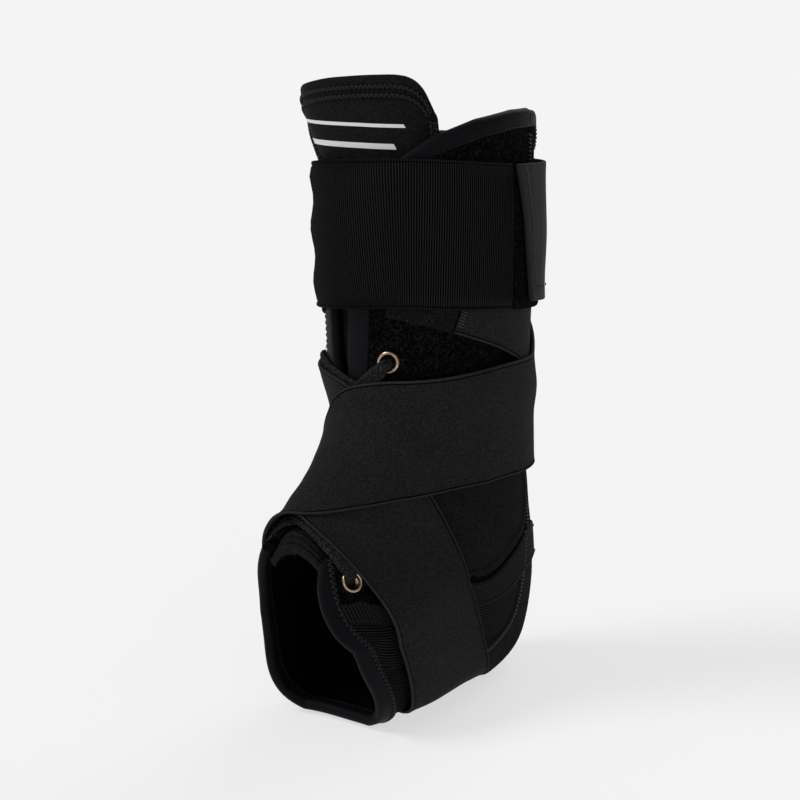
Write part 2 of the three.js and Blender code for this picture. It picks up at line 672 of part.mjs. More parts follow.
// Lace: one cord that crosses the throat from eyelet to eyelet
const LACE_HIGH = 0.3 + EYELET_FLANGE + 0.9 + LACE_WALL / 2;
const LACE_LOW = 1.3 + LACE_WALL / 2;
function strand(from, to, sag, dip) {
  const stops = [0, 0.1, 0.2, 0.32, 0.44, 0.5, 0.56, 0.68, 0.8, 0.9, 1];
  const points = stops.map((f) => {
    const station = mix(from[0], to[0], f) - dip * Math.sin(Math.PI * f);
    const angle = mix(from[1], to[1], f);
    const near = Math.min(f, 1 - f);
    const lift = mix(LACE_HIGH, LACE_LOW, ease(near, 0.1, 0.25)) + sag * ease(near, 0.44, 0.5);
    return { at: [station, angle], lift, half: mix(1.6, LACE_WIDTH / 2, ease(near, 0.03, 0.2)) };
  });
  const spots = points.map((p) => place(p.at[0], p.at[1], p.lift));
  const corners = [];
  points.forEach((p, i) => {
    const out = slopes(...p.at).out;
    const ahead = place(...points[Math.min(i + 2, points.length - 1)].at, 0);
    const behind = place(...points[Math.max(i - 2, 0)].at, 0);
    const wide = new THREE.Vector3().crossVectors(out, ahead.sub(behind)).normalize();
    const next = spots[Math.min(i + 1, spots.length - 1)];
    const along = next.clone().sub(spots[Math.max(i - 1, 0)]).normalize();
    const thick = new THREE.Vector3().crossVectors(along, wide).normalize();
    for (const [w, t] of [[-1, -1], [1, -1], [1, 1], [-1, 1]])
      corners.push(
        spots[i].clone()
          .addScaledVector(wide, w * p.half)
          .addScaledVector(thick, (t * LACE_WALL) / 2),
      );
  });
  const faces = [[0, 1, 2], [0, 2, 3]];
  for (let i = 0; i + 1 < points.length; i++)
    for (let k = 0; k < 4; k++) {
      const a = 4 * i + k;
      const b = 4 * i + ((k + 1) % 4);
      faces.push([a, a + 4, b + 4], [a, b + 4, b]);
    }
  const end = 4 * (points.length - 1);
  faces.push([end, end + 2, end + 1], [end, end + 3, end + 2]);
  return solid(closed(corners, faces));
}
const strands = [];
for (let i = 0; i + 1 < EYELETS_PER_SIDE; i++) {
  strands.push(strand(eyeletAt(1, i), eyeletAt(-1, i + 1), i % 2 ? -0.5 : -1.8, 0));
  strands.push(strand(eyeletAt(-1, i), eyeletAt(1, i + 1), i % 2 ? -1.8 : -0.5, 0));
}
const last = EYELETS_PER_SIDE - 1;
strands.push(strand(eyeletAt(1, last), eyeletAt(-1, last), -0.6, 1.1));
for (const [, side] of SIDES)
  for (let i = 0; i < EYELETS_PER_SIDE; i++) {
    const drawn = new THREE.CylinderGeometry(1.7, 1.7, LACE_HIGH + 2, 8)
      .rotateX(Math.PI / 2)
      .translate(0, 0, (LACE_HIGH - 2) / 2);
    strands.push(solid(drawn.applyMatrix4(upright(eyeletAt(side, i), 0))));
  }
let laced = wasm.Manifold.union(strands).subtract(wasm.Manifold.union(clearOfLace));
for (const part of laced.decompose()) {
  if (part.volume() > 0) continue;
  // A pinhole shut in between two crossing strands is filled.
  const { min, max } = part.boundingBox();
  const size = max.map((m, k) => m - min[k] + 0.1);
  const plug = new THREE.BoxGeometry(...size).translate(...max.map((m, k) => (m + min[k]) / 2));
  laced = laced.add(solid(plug));
}
add("lace", geometryOf(laced), "cord");

export default brace;
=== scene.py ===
import math
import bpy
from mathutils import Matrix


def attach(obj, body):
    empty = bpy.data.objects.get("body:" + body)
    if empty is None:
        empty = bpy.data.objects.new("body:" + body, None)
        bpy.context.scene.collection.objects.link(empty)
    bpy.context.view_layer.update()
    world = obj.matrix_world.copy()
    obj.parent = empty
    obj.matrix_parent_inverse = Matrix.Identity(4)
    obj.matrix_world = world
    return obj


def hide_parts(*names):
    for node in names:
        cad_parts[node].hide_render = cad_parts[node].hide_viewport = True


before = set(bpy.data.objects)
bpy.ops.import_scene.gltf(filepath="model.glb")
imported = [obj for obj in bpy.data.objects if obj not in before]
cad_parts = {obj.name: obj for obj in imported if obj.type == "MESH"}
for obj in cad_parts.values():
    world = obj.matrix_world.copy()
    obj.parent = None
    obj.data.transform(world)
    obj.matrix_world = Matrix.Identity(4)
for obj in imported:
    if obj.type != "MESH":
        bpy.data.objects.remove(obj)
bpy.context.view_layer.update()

from types import SimpleNamespace

import bmesh
import bpy
import numpy as np
from mathutils import Vector

# Lace-up ankle brace with figure-eight straps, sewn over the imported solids.
# Lengths here are millimetres, turned into metres when a mesh is made. A place on the brace is
# a station down the leg and foot, 0 above the cuff to 12 at the toe rim, an angle round it, 0 at
# the front, 90 on the left and 180 at the back or sole, and a lift above the fabric.
MM = 0.001

FORM_HEIGHT = 275
FORM_LENGTH = 150
FORM_WIDTH = 84
HEEL_TO_AXIS = 31
PANEL_WALL = 4
TONGUE_WALL = 4
CUP_WALL = 2.4
PATCH_WALL = 1
BAND_WALL = 1.1
STRAP_WALL = 1.3
CUFF_WALL = 1.4
TAB_WALL = 1.6
STRAP_WIDTH = 50
CUFF_WIDTH = 61
LACE_WIDTH = 7
TOP_BINDING = 5.5
THROAT_BINDING = 9.5
EYELET_RADIUS = 4.7
EYELET_BARREL = 3.4
EYELETS_PER_SIDE = 6
GAP = 0.5
STRAP_GAP = 0.35
BAND_GAP = 0.6
EDGE_GAP = 0.9
INSTEP_DROP = 5.1
ARCH_DROP = 3.4
UNDER_STRAPS = 3.5
TONGUE_FLARE = 12.6
TOE_SPRING = 2.8
FAR_ROUND = 0.6
FAR_NARROW = 0.06
TOE_ROLL = 5.5
BACK_TOP = 0.64
BACK_DIP = 0.26
SIDES = (("left", 1), ("right", -1))

# Pitch of each ribbed fabric, and the width of an elastic's firm edge
CUFF_RIB = 0.945
CUP_RIB = 1.45
BAND_RIB = 1.6
SELVEDGE = 2.7

# Where the cup's two halves meet: the station under the heel, and an angle just short of the seam
HEEL_TURN = 7.7
UNDERFOOT = 179.999

# Binding tape: how far it stands above the fabric, and the row of stitches beside it
TAPE_PROUD = 0.62
TAPE_ROW_INSIDE = -0.55
TAPE_ROW = {"lift": 0.52, "pitch": 2.6, "radius": 0.2}

# Angles where the figure-eight straps are sewn on, meet their tabs and end
SEWN = -179.2
TAB_SEAM = 291
OUTER_END = 318
INNER_END = 334

# Cuff: angles of its two ends, how much further one corner reaches, and the gap between the ends
CUFF_END = 93
CUFF_TAIL = -218
CUFF_SLANT = 8
CUFF_OPENING = 46
CUFF_TAB_WIDTH = 45

EYELET_PROFILE_STEPS = 9
EYELET_SIDES = 40
LACE_HIGH = 2.3
LACE_LOW = 1.8
LACE_THICK = 2.1
LACE_SECTION = 26
CREASE_ANGLE = 62

# Each printed stripe: its height, half its width, and its left end across the tongue
STRIPES = ((248.6, 0.7, 67.5), (240.3, 1.1, 56.5))


def table(names, rows):
    return dict(zip(names.split(), np.array(rows, float).T))


SECTIONS = table("front_x front_z back_x back_z half front_square back_square ridge", [
    [0.32, 1.0, -0.32, 1.0, 0.5, 2.1, 2.1, 0],
    [0.32, 0.8545, -0.32, 0.8364, 0.5, 2.1, 2.1, 0],
    [0.3133, 0.6909, -0.3133, 0.6545, 0.476, 2.1, 2.1, 0],
    [0.3067, 0.5636, -0.3133, 0.4727, 0.452, 2.1, 2.1, 0],
    [0.32, 0.4909, -0.34, 0.3345, 0.429, 2.0, 2.1, 0],
    [0.3533, 0.4509, -0.38, 0.2255, 0.405, 2.0, 2.2, 0],
    [0.3867, 0.4255, -0.4, 0.1236, 0.381, 2.0, 2.3, 0.012],
    [0.4133, 0.4036, -0.34, 0.0291, 0.369, 2.0, 2.5, 0.024],
    [0.44, 0.3818, -0.1867, -0.0055, 0.369, 1.95, 2.8, 0.036],
    [0.4733, 0.36, 0, -0.0055, 0.381, 1.9, 3.0, 0.048],
    [0.5133, 0.3382, 0.1867, -0.0055, 0.393, 1.8, 3.4, 0.06],
    [0.5533, 0.32, 0.36, -0.0055, 0.381, 1.7, 3.8, 0.06],
    [0.62, 0.2982, 0.48, -0.004, 0.345, 1.6, 4.2, 0.06],
    [0.6733, 0.28, 0.5867, 0, 0.31, 1.5, 4.2, 0.06],
])
PANEL = table("throat_station throat_angle outer_station outer_angle", [
    [1.35, 20, 0.64, 111], [1.9, 11, 1.5, 113], [2.5, 8, 2.4, 116], [3.1, 7, 3.3, 119],
    [3.8, 6.5, 4.3, 122], [4.5, 7.5, 5.1, 123.3], [5.1, 9, 5.68, 120.5], [5.7, 11, 6.11, 111.6],
    [6.4, 14, 6.73, 102], [7.2, 18, 7.49, 93.5], [8.2, 25, 8.5, 87.5], [9.2, 31.5, 9.5, 81.5],
    [10.1, 37, 10.63, 74.2], [11.08, 42, 11.74, 63],
])
PANEL_RIGHT_TOE = {"throat_station": 10.84, "throat_angle": 42, "outer_station": 10.92,
                   "outer_angle": 71.8}
PANEL_TOP = table("angle station", [
    [20, 1.35], [33, 1.08], [50, 0.88], [72, 0.73], [95, 0.65], [111, 0.64],
])
CUP_EDGE = table("angle station", [
    [63.6, 11.74], [68.4, 11.3], [72.2, 10.95], [75.2, 10.63], [82.5, 9.5], [88.5, 8.5],
    [94.5, 7.49], [103, 6.73], [112.5, 6.11], [122, 5.68], [134, 5.38], [152, 5.25], [180, 5.2],
])
BAND = table("top_station top_angle low_station low_angle", [
    [11.7, 58, 11.73, 69], [11.3, 61.5, 11.35, 72.5], [10.9, 64, 11.0, 76.5],
    [10.62, 68.5, 10.65, 81], [9.5, 77, 9.5, 88], [8.5, 83, 8.5, 94], [7.45, 90, 7.53, 99],
    [6.48, 100.5, 6.98, 105.5], [5.87, 109.5, 6.35, 116], [5.4, 118, 5.95, 126],
    [5.1, 130, 5.65, 138], [4.95, 150, 5.52, 155], [4.9, 180, 5.48, 180],
])
POCKET = table("station front_angle back_angle", [
    [3.45, 66, 119], [4.2, 62, 120], [4.95, 58, 119], [5.4, 57, 115], [5.83, 56, 107.5],
    [6.48, 58, 98.5], [7.08, 62, 91.5], [7.5, 67, 87.5], [7.9, 72, 84],
])
TOE_RIM = table("angle rear front", [
    [37, 11.0, 11.35], [47, 11.4, 11.93], [58, 11.74, 12.25], [74, 11.76, 12.24], [82, 11.56, 12.02],
    [91, 11.32, 11.78], [100, 11.16, 11.6], [108, 11.05, 11.48], [140, 10.92, 11.33],
    [180, 11.0, 11.42], [200, 11.1, 11.55], [220, 11.28, 11.75], [235, 11.38, 11.85],
    [252, 11.33, 11.8], [262, 11.2, 11.65], [269, 11.08, 11.5], [286, 10.87, 11.25],
    [302, 10.92, 11.3], [313, 10.93, 11.35], [323, 10.88, 11.3],
])
TONGUE = table("station right_angle left_angle", [
    [0.1, -72, 51], [0.6, -71, 51], [0.75, -65, 52], [0.9, -56, 52], [1.1, -45, 51],
    [1.3, -36, 50], [1.5, -30, 48], [1.8, -24, 45], [2.1, -26, 41], [2.5, -36, 36],
    [3.2, -41, 32], [4, -42, 30], [6, -38, 30], [8, -40, 38], [10, -44, 45], [11.3, -46, 46],
])
TONGUE_TOP = table("share station", [
    [0, 0.68], [0.12, 0.44], [0.24, 0.29], [0.42, 0.2], [0.6, 0.165], [0.78, 0.15], [0.87, 0.18],
    [0.93, 0.28], [0.97, 0.43], [1, 0.68],
])
STRAP_ROUTE = table("station angle", [
    [9.5, -179.2], [9.5, -150], [9.5, -119], [9.3, -97], [8.92, -81], [8.45, -61], [8.02, -42],
    [7.52, -24], [6.75, -7], [5.87, 10], [5.15, 25], [4.62, 41], [4.13, 59], [3.78, 77], [3.5, 97],
    [3.27, 126], [2.97, 152], [2.68, 180], [2.4, 217], [2.15, 255], [1.98, 288], [1.89, 314],
    [1.84, 336],
])
CUFF_ROUTE = table("station angle", [
    [1.63, 93], [1.62, 60], [1.62, 30], [1.65, 5], [1.71, -40], [1.71, -90], [1.68, -140],
    [1.66, -180], [1.64, -218],
])
EYELET_LINE = table("station angle", [[3.05, 22], [4, 20], [6, 22], [8, 32], [9.6, 44], [10.98, 54]])


# Small helpers

def mix(a, b, share):
    return a + (b - a) * share


def ease(x, start, end):
    share = np.clip((np.asarray(x, float) - start) / (end - start), 0, 1)
    return share * share * (3 - 2 * share)


def smooth(column, row):
    """A table's column at a fractional row, as a smooth curve through the rows."""
    at = np.clip(row, 0, len(column) - 1 - 1e-9)
    i = np.floor(at).astype(int)
    f = at - i
    ends = [[2 * column[0] - column[1]], column, [2 * column[-1] - column[-2]]]
    p0, p1, p2, p3 = (np.concatenate(ends)[i + k] for k in range(4))
    return 0.5 * (2 * p1 + (p2 - p0) * f + (2 * p0 - 5 * p1 + 4 * p2 - p3) * f * f
                  + (3 * p1 - p0 - 3 * p2 + p3) * f ** 3)


def unit(v):
    return v / np.maximum(np.linalg.norm(v, axis=-1, keepdims=True), 1e-12)


def dot(a, b):
    return (a * b).sum(-1)


# The form that every piece lies on

def turned(angle):
    """How far round from the front a place is, either way."""
    return np.abs((angle + 180) % 360 - 180)


def form(station, angle):
    """Points of the leg-and-foot form, in millimetres."""
    col = {name: smooth(column, station) for name, column in SECTIONS.items()}
    c = np.cos(np.radians(angle))
    s = np.sin(np.radians(angle))
    rounder = FAR_ROUND * ease(station, 9.6, 11.2) * (s < 0)
    square = np.where(c >= 0, col["front_square"], col["back_square"] - rounder)
    along = (1 + np.sign(c) * np.abs(c) ** (2 / square)) / 2
    across = np.sign(s) * np.abs(s) ** (2 / square)
    x = HEEL_TO_AXIS + mix(col["back_x"], col["front_x"], along) * FORM_LENGTH
    narrow = 1 - FAR_NARROW * ease(station, 9.6, 11.3) * (s < 0)
    y = (col["half"] * across * narrow - col["ridge"] * np.maximum(c, 0)) * FORM_WIDTH
    z = mix(col["back_z"], col["front_z"], along) * FORM_HEIGHT
    lifted = TOE_SPRING * ease(station, 9.6, 12.2) * ease(turned(angle), 85, 130)
    return np.stack([x, y, np.maximum(z, 0) + lifted], -1)


def slopes(station, angle):
    """How a point moves for each station and each degree, and the direction out of the form."""
    e, g = 0.02, 1.0
    ds = (form(station + e, angle) - form(station - e, angle)) / (2 * e)
    da = (form(station, angle + g) - form(station, angle - g)) / (2 * g)
    return ds, da, unit(np.cross(ds, da))


def drop(station, angle):
    """How far the fabric under the straps lies below the form."""
    turn = turned(angle)
    instep = ease(station, 3, 4.4) * (1 - ease(station, 9.6, 11.2)) * (1 - ease(turn, 55, 85))
    arch = ease(station, 8.1, 8.5) * (1 - ease(station, 10.5, 10.95)) * ease(turn, 132, 152)
    return INSTEP_DROP * instep + ARCH_DROP * arch


def settle(points):
    """Presses what would go through the floor flat on it, layer above layer."""
    soft, least = 0.28, 0.02
    z = points[..., 2]
    pressed = least + soft * np.exp((np.minimum(z, 1) - soft - least) / soft)
    points[..., 2] = np.where(z < soft + least, pressed, z)
    return points


def place(station, angle, lift):
    """Points at a lift above the fabric."""
    station, angle, lift = np.broadcast_arrays(station, angle, lift)
    out = slopes(station, angle)[2]
    return settle(form(station, angle) + out * (lift - drop(station, angle))[..., None])


def walk(station, angle, direction, distance):
    """Goes over the form from places, in a direction that is kept in the surface."""
    steps = max(1, math.ceil(float(np.abs(distance).max()) / 2))
    for _ in range(steps):
        ds, da, out = slopes(station, angle)
        direction = unit(direction - out * dot(direction, out)[..., None])
        ss, sa, aa = dot(ds, ds), dot(ds, da), dot(da, da)
        bs, ba = dot(direction, ds), dot(direction, da)
        step = distance / steps / (ss * aa - sa * sa)
        station = station + step * (bs * aa - ba * sa)
        angle = angle + step * (ba * ss - bs * sa)
    return station, angle, direction


def swell(station, angle, waves, height):
    """Slow uneven swelling of soft fabric. waves is how many there are round the leg."""
    a = np.radians(angle)
    s = station * 1.3
    return height * (
        np.sin(waves * a + 1.7 * s) * np.sin(0.6 * waves * a - 2.3 * s + 1)
        + 0.5 * np.sin(1.7 * waves * a + 3.1 * s + 2) * np.sin(4.3 * s - 0.9 * waves * a)
    )


def ribs(distance, pitch, height):
    return height * (np.abs(np.sin(np.pi * distance / pitch)) ** 0.7 - 0.6)


def ridge(distance, centre, half, height):
    """A rounded welt along a line at that distance."""
    return height * np.sqrt(np.clip(1 - ((distance - centre) / half) ** 2, 0, 1))


def groove(distance, centre, half, depth):
    return -depth * np.exp(-(((distance - centre) / half) ** 2))


# Shader nodes as expressions

class Value:
    """A number that varies over a surface: a socket of one finish's nodes."""

    def __init__(self, finish, socket):
        self.finish = finish
        self.socket = socket

    def maths(self, operation, *numbers):
        return self.finish.maths(operation, self, *numbers)

    def __add__(self, other):
        return self.maths("ADD", other)

    def __sub__(self, other):
        return self.maths("SUBTRACT", other)

    def __mul__(self, other):
        return self.maths("MULTIPLY", other)

    def __rsub__(self, other):
        return self.finish.maths("SUBTRACT", other, self)

    def __abs__(self):
        return self.maths("ABSOLUTE")

    __radd__ = __add__
    __rmul__ = __mul__


class Finish:
    """One material, with its Principled shader."""

    def __init__(self, name, slot, roughness, **constants):
        self.material = bpy.data.materials.new(name)
        self.material.use_nodes = True
        self.nodes = self.material.node_tree.nodes
        self.links = self.material.node_tree.links
        self.shader = self.nodes["Principled BSDF"]
        self.slot = slot
        self.put(self.shader.inputs["Roughness"], roughness)
        self.put(self.shader.inputs["Specular IOR Level"], 0.1)
        for name, value in constants.items():
            self.put(self.shader.inputs[name.replace("_", " ").title().replace("Ior", "IOR")], value)

    def put(self, socket, value):
        if isinstance(value, Value):
            self.links.new(value.socket, socket)
        else:
            socket.default_value = value

    def node(self, kind, settings=(), inputs=()):
        made = self.nodes.new("ShaderNode" + kind)
        for name, value in dict(settings).items():
            setattr(made, name, value)
        for name, value in dict(inputs).items():
            self.put(made.inputs[name], value)
        return made

    def maths(self, operation, *numbers):
        made = self.node("Math", {"operation": operation}, enumerate(numbers))
        return Value(self, made.outputs[0])

    def wave(self, x, pitch):
        """0 to 1 and back, once for each pitch."""
        return (x * (2 * math.pi / pitch)).maths("SINE") * 0.5 + 0.5

    def cloth_place(self):
        """Distance along and across the cloth, in metres."""
        uv = self.node("TexCoord").outputs["UV"]
        parts = self.node("SeparateXYZ", (), {0: Value(self, uv)})
        return Value(self, parts.outputs[0]), Value(self, parts.outputs[1])

    def point(self):
        return Value(self, self.node("TexCoord").outputs["Object"])

    def height(self):
        return Value(self, self.node("SeparateXYZ", (), {0: self.point()}).outputs["Z"])

    def grain(self, size, detail=2.0, roughness=0.5):
        """Soft noise from 0 to 1, with grains of that size in metres."""
        inputs = {"Vector": self.point(), "Scale": 1 / size, "Detail": detail, "Roughness": roughness}
        return Value(self, self.node("TexNoise", {"noise_dimensions": "3D"}, inputs).outputs["Fac"])

    def cells(self, size, randomness=1.0):
        inputs = {"Vector": self.point(), "Scale": 1 / size, "Randomness": randomness}
        return Value(self, self.node("TexVoronoi", (), inputs).outputs["Distance"])

    def limit(self, x, low, high):
        """0 below low and 1 above high, eased between them."""
        made = self.node("MapRange", {"interpolation_type": "SMOOTHSTEP"},
                         {"Value": x, "From Min": low, "From Max": high})
        return Value(self, made.outputs[0])

    def blend(self, share, first, second):
        """A colour between two. Mix node sockets 6 and 7 are its colours and output 2 its colour."""
        made = self.node("Mix", {"data_type": "RGBA"}, {0: share, 6: first, 7: second})
        return Value(self, made.outputs[2])

    def groove_shade_lines(self, across, width):
        """1 in the groove beside each selvedge of a strap, in metres across it, where a line of painted
        shade goes.
        """
        edge = across.maths("MINIMUM", width * MM - across)
        return 1 - self.limit(abs(edge - 0.00125), 0.0001, 0.00035)

    def rim(self, across, width):
        """1 on the firm outer cord of each selvedge, where a painted highlight goes."""
        edge = across.maths("MINIMUM", width * MM - across)
        return 1 - self.limit(edge, 0.0007, 0.001)

    def colour(self, value):
        self.put(self.shader.inputs["Base Color"], value)

    def rough(self, value):
        self.put(self.shader.inputs["Roughness"], value)

    def relief(self, height, distance):
        """Bump, where height 1 stands that distance in metres above height 0."""
        made = self.node("Bump", (), {"Height": height, "Distance": distance, "Strength": 1.0})
        self.put(self.shader.inputs["Normal"], Value(self, made.outputs["Normal"]))


def grey(level, warm=1.0, cool=1.0):
    return (level * warm, level, level * cool, 1.0)


def velour_finish():
    f = Finish("brushed_velour", "velour", 1.0, specular_ior_level=0.02)
    fuzz = f.grain(0.0012, 3.0, 0.7)
    clumps = f.grain(0.0035, 2.0)
    tips = f.limit(fuzz, 0.42, 0.66) * f.limit(clumps, 0.15, 0.6)
    f.colour(f.blend(tips, grey(0.0008), grey(0.0105, 1, 1.1)))
    f.relief(fuzz + f.cells(0.0009) * 0.35, 0.0012)
    return f


def tape_finish():
    f = Finish("binding_tape", "tape", 0.5, specular_ior_level=0.05)
    along, across = f.cloth_place()
    knit = f.wave(across, 0.0007) * f.wave(along, 0.0009)
    shade = knit * 0.4 + f.grain(0.0009, 3.0) * 0.6
    f.colour(f.blend(shade, grey(0.0018, 1.02, 1.5), grey(0.0058, 1.02, 1.45)))
    f.relief(knit + f.grain(0.0008), 0.0001)
    return f


def lining_finish():
    f = Finish("black_lining", "velour", 0.95, specular_ior_level=0.02)
    loops = f.grain(0.0009, 3.0, 0.6)
    f.colour(f.blend(loops, grey(0.0005), grey(0.0019)))
    f.relief(loops, 0.0003)
    return f


def padding_finish():
    """Smooth jersey, with two plain white stripes printed below its top edge."""
    f = Finish("tongue_jersey", "padding", 0.65, specular_ior_level=0.04)
    down, side = f.cloth_place()
    knit = f.wave(side + f.grain(0.002) * 0.0003, 0.0006) * f.wave(down, 0.0008)
    worn = f.grain(0.0011, 3.0, 0.6)
    shade = knit * 0.3 + f.limit(worn, 0.3, 0.7) * 0.7
    cloth_tone = f.blend(shade, grey(0.0028, 1, 1.1), grey(0.0135, 1, 1.1))
    height = f.height()
    printed = 0
    for middle, half, end in STRIPES:
        line = 1 - f.limit(abs(height - middle * MM), (half - 0.08) * MM, (half + 0.08) * MM)
        ends = f.limit(side, 0.006, 0.0062) * (1 - f.limit(side, (end - 0.1) * MM, (end + 0.1) * MM))
        printed = line * ends + printed
    weave_through = 0.9 + 0.1 * f.grain(0.0008)
    f.colour(f.blend(printed * weave_through, cloth_tone, (0.78, 0.78, 0.79, 1.0)))
    f.relief(knit + worn, 0.00012)
    return f


def elastic_finish():
    f = Finish("woven_elastic", "elastic", 0.7, specular_ior_level=0.035)
    along, across = f.cloth_place()
    wobble = f.grain(0.0016) * 0.0004
    twill = f.wave(along + across * 0.6 + wobble, 0.0009)
    warp = f.wave(across, 0.0008)
    fine = f.grain(0.0008, 2.0, 0.6)
    weave = twill * 0.25 + warp * 0.15 + f.limit(fine, 0.34, 0.66) * 0.6
    worn = f.grain(0.02, 3.0)
    # Painted shade: edge is 1 on a line in the groove beside each selvedge, painted near black below.
    edge = f.groove_shade_lines(across, STRAP_WIDTH)
    tone = f.blend(weave * 0.85 + worn * 0.15, grey(0.0025, 1, 1.04), grey(0.0245, 1, 1.08))
    # Painted highlight: a light line along the outer cord of each selvedge.
    cord_highlighted = f.blend(f.rim(across, STRAP_WIDTH), tone, grey(0.024, 1, 1.06))
    f.colour(f.blend(edge, cord_highlighted, grey(0.0008)))
    f.relief(weave, 0.0003)
    return f


def cuff_finish():
    f = Finish("ribbed_elastic", "elastic", 0.75, specular_ior_level=0.025)
    along, across = f.cloth_place()
    threads = f.wave(across, 0.0009)
    # The ribs are real relief. The rib wave also paints their grooves near black, as painted shade between
    # the ribs.
    rib = f.limit(f.wave(along, CUFF_RIB * MM), 0.3, 0.9)
    fine = f.grain(0.0006, 2.0, 0.6)
    # Painted shade: the stretch of cuff from 30 to 150 mm along it, its far side, is darkened by up to
    # half.
    far_shade = f.limit(along, 0.03, 0.085) * (1 - f.limit(along, 0.11, 0.15))
    shade = (rib * 0.8 + threads * 0.08 + fine * 0.26 - 0.34) * (1 - far_shade * 0.5)
    tone = f.blend(shade, grey(0.0001), grey(0.031, 1.03, 0.98))
    # Painted shade: a near-black line beside each selvedge.
    f.colour(f.blend(f.groove_shade_lines(across, CUFF_WIDTH), tone, grey(0.0008)))
    f.relief(threads * 0.4 + fine * 0.6, 0.00018)
    return f


def knit_finish():
    f = Finish("ribbed_knit", "ribbed", 0.85, specular_ior_level=0.02)
    along, across = f.cloth_place()
    fuzz = f.grain(0.0008, 3.0, 0.6)
    # The ribs are real relief. The rib wave also paints their grooves near black, as painted shade between
    # the ribs.
    rib = f.limit(f.wave(along, CUP_RIB * MM), 0.2, 0.8)
    f.colour(f.blend(rib * 0.85 + fuzz * 0.45 - 0.32, grey(0.0002), grey(0.0225)))
    f.relief(fuzz + f.wave(across, 0.001) * 0.3, 0.0003)
    return f


def twill_finish():
    f = Finish("pocket_twill", "twill", 0.85, specular_ior_level=0.02)
    along, across = f.cloth_place()
    twill = f.wave(along * 0.8 + across, 0.0009)
    fuzz = f.grain(0.0008, 3.0, 0.6)
    f.colour(f.blend(twill * 0.4 + f.limit(fuzz, 0.3, 0.7) * 0.6, grey(0.0022), grey(0.0165, 1, 1.06)))
    f.relief(twill * 0.5 + fuzz, 0.00025)
    return f


def webbing_finish():
    f = Finish("band_webbing", "webbing", 0.65, specular_ior_level=0.04)
    along, across = f.cloth_place()
    cords = f.wave(across, 0.0012)
    # The ribs are real relief. The rib wave also paints their grooves near black, as painted shade between
    # the ribs.
    rib = f.limit(f.wave(along, BAND_RIB * MM), 0.2, 0.8)
    shade = rib * 0.75 + cords * 0.15 + f.grain(0.0007, 2.0) * 0.3 - 0.28
    f.colour(f.blend(shade, grey(0.0003), grey(0.016, 1, 1.03)))
    f.relief(cords * 0.6 + f.grain(0.0007) * 0.5, 0.0002)
    return f


def tab_finish():
    f = Finish("tab_weave", "webbing", 0.6, specular_ior_level=0.06)
    along, across = f.cloth_place()
    weave = f.wave(along, 0.0009) * f.wave(across, 0.0009)
    fine = f.grain(0.0008, 2.0, 0.6)
    f.colour(f.blend(weave * 0.3 + fine * 0.7, grey(0.007, 1, 1.03), grey(0.0265, 1, 1.05)))
    f.relief(weave + fine * 0.4, 0.00015)
    return f


def hook_finish():
    f = Finish("hook_fuzz", "velour", 0.9, specular_ior_level=0.02)
    specks = f.limit(f.grain(0.0009, 3.0, 0.7), 0.45, 0.66)
    f.colour(f.blend(specks, grey(0.006), grey(0.0235, 1, 1.04)))
    f.relief(specks, 0.0004)
    return f


def cord_finish():
    f = Finish("braided_lace", "cord", 0.7, specular_ior_level=0.04)
    strands = f.limit(f.grain(0.0009, 3.0, 0.6), 0.3, 0.7)
    f.colour(f.blend(strands, grey(0.0025), grey(0.032, 1, 1.04)))
    f.relief(strands, 0.0003)
    return f


def thread_finish():
    f = Finish("sewing_thread", "cord", 0.5, specular_ior_level=0.15)
    f.colour(f.blend(f.grain(0.0006), grey(0.003), grey(0.0115)))
    f.relief(f.grain(0.0003), 0.00008)
    return f


def tack_finish():
    f = Finish("bar_tack_thread", "cord", 0.5, specular_ior_level=0.2)
    f.colour(f.blend(f.grain(0.0006), grey(0.012), grey(0.034)))
    f.relief(f.grain(0.0003), 0.00008)
    return f


def brass_finish():
    f = Finish("aged_brass", "brass", 0.3, metallic=1.0)
    patina = f.grain(0.003, 4.0, 0.6)
    tarnish = f.limit(patina, 0.42, 0.72)
    f.colour(f.blend(tarnish, (0.50, 0.37, 0.25, 1.0), (0.27, 0.19, 0.12, 1.0)))
    f.rough(tarnish * 0.2 + 0.26)
    f.relief(patina, 0.00004)
    return f


# Meshes

def mesh_object(name, points, faces, finish, uv=None):
    """A closed body from points in millimetres, smooth, facing out, that rides with the brace."""
    mesh = bpy.data.meshes.new(name)
    mesh.from_pydata((points.reshape(-1, 3) * MM).tolist(), [], faces)
    if uv is not None:
        layer = mesh.uv_layers.new(name="cloth")
        corners = np.zeros(len(mesh.loops), int)
        mesh.loops.foreach_get("vertex_index", corners)
        layer.data.foreach_set("uv", (uv.reshape(-1, 2)[corners] * MM).ravel())
    body = bmesh.new()
    body.from_mesh(mesh)
    bmesh.ops.recalc_face_normals(body, faces=body.faces)
    body.to_mesh(mesh)
    body.free()
    mesh.shade_smooth()
    mesh.set_sharp_from_angle(angle=math.radians(CREASE_ANGLE))
    mesh.materials.append(finish.material)
    made = bpy.data.objects.new(name, mesh)
    bpy.context.scene.collection.objects.link(made)
    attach(made, "root")
    return made


def grid_faces(rows, cols, start=0, turn=False):
    i, j = np.meshgrid(np.arange(rows - 1), np.arange(cols - 1), indexing="ij")
    a = start + (i * cols + j).ravel()
    faces = np.stack([a, a + cols, a + cols + 1, a + 1], -1)
    return (faces[:, ::-1] if turn else faces).tolist()


def spaced(length, count, radius):
    """Places along a side, with some close together where its two ends are rounded."""
    ends = radius * (1 - np.cos(np.radians([0, 35, 62])))
    middle = np.linspace(radius, length - radius, count)
    return np.concatenate([ends, middle, length - ends[::-1]])


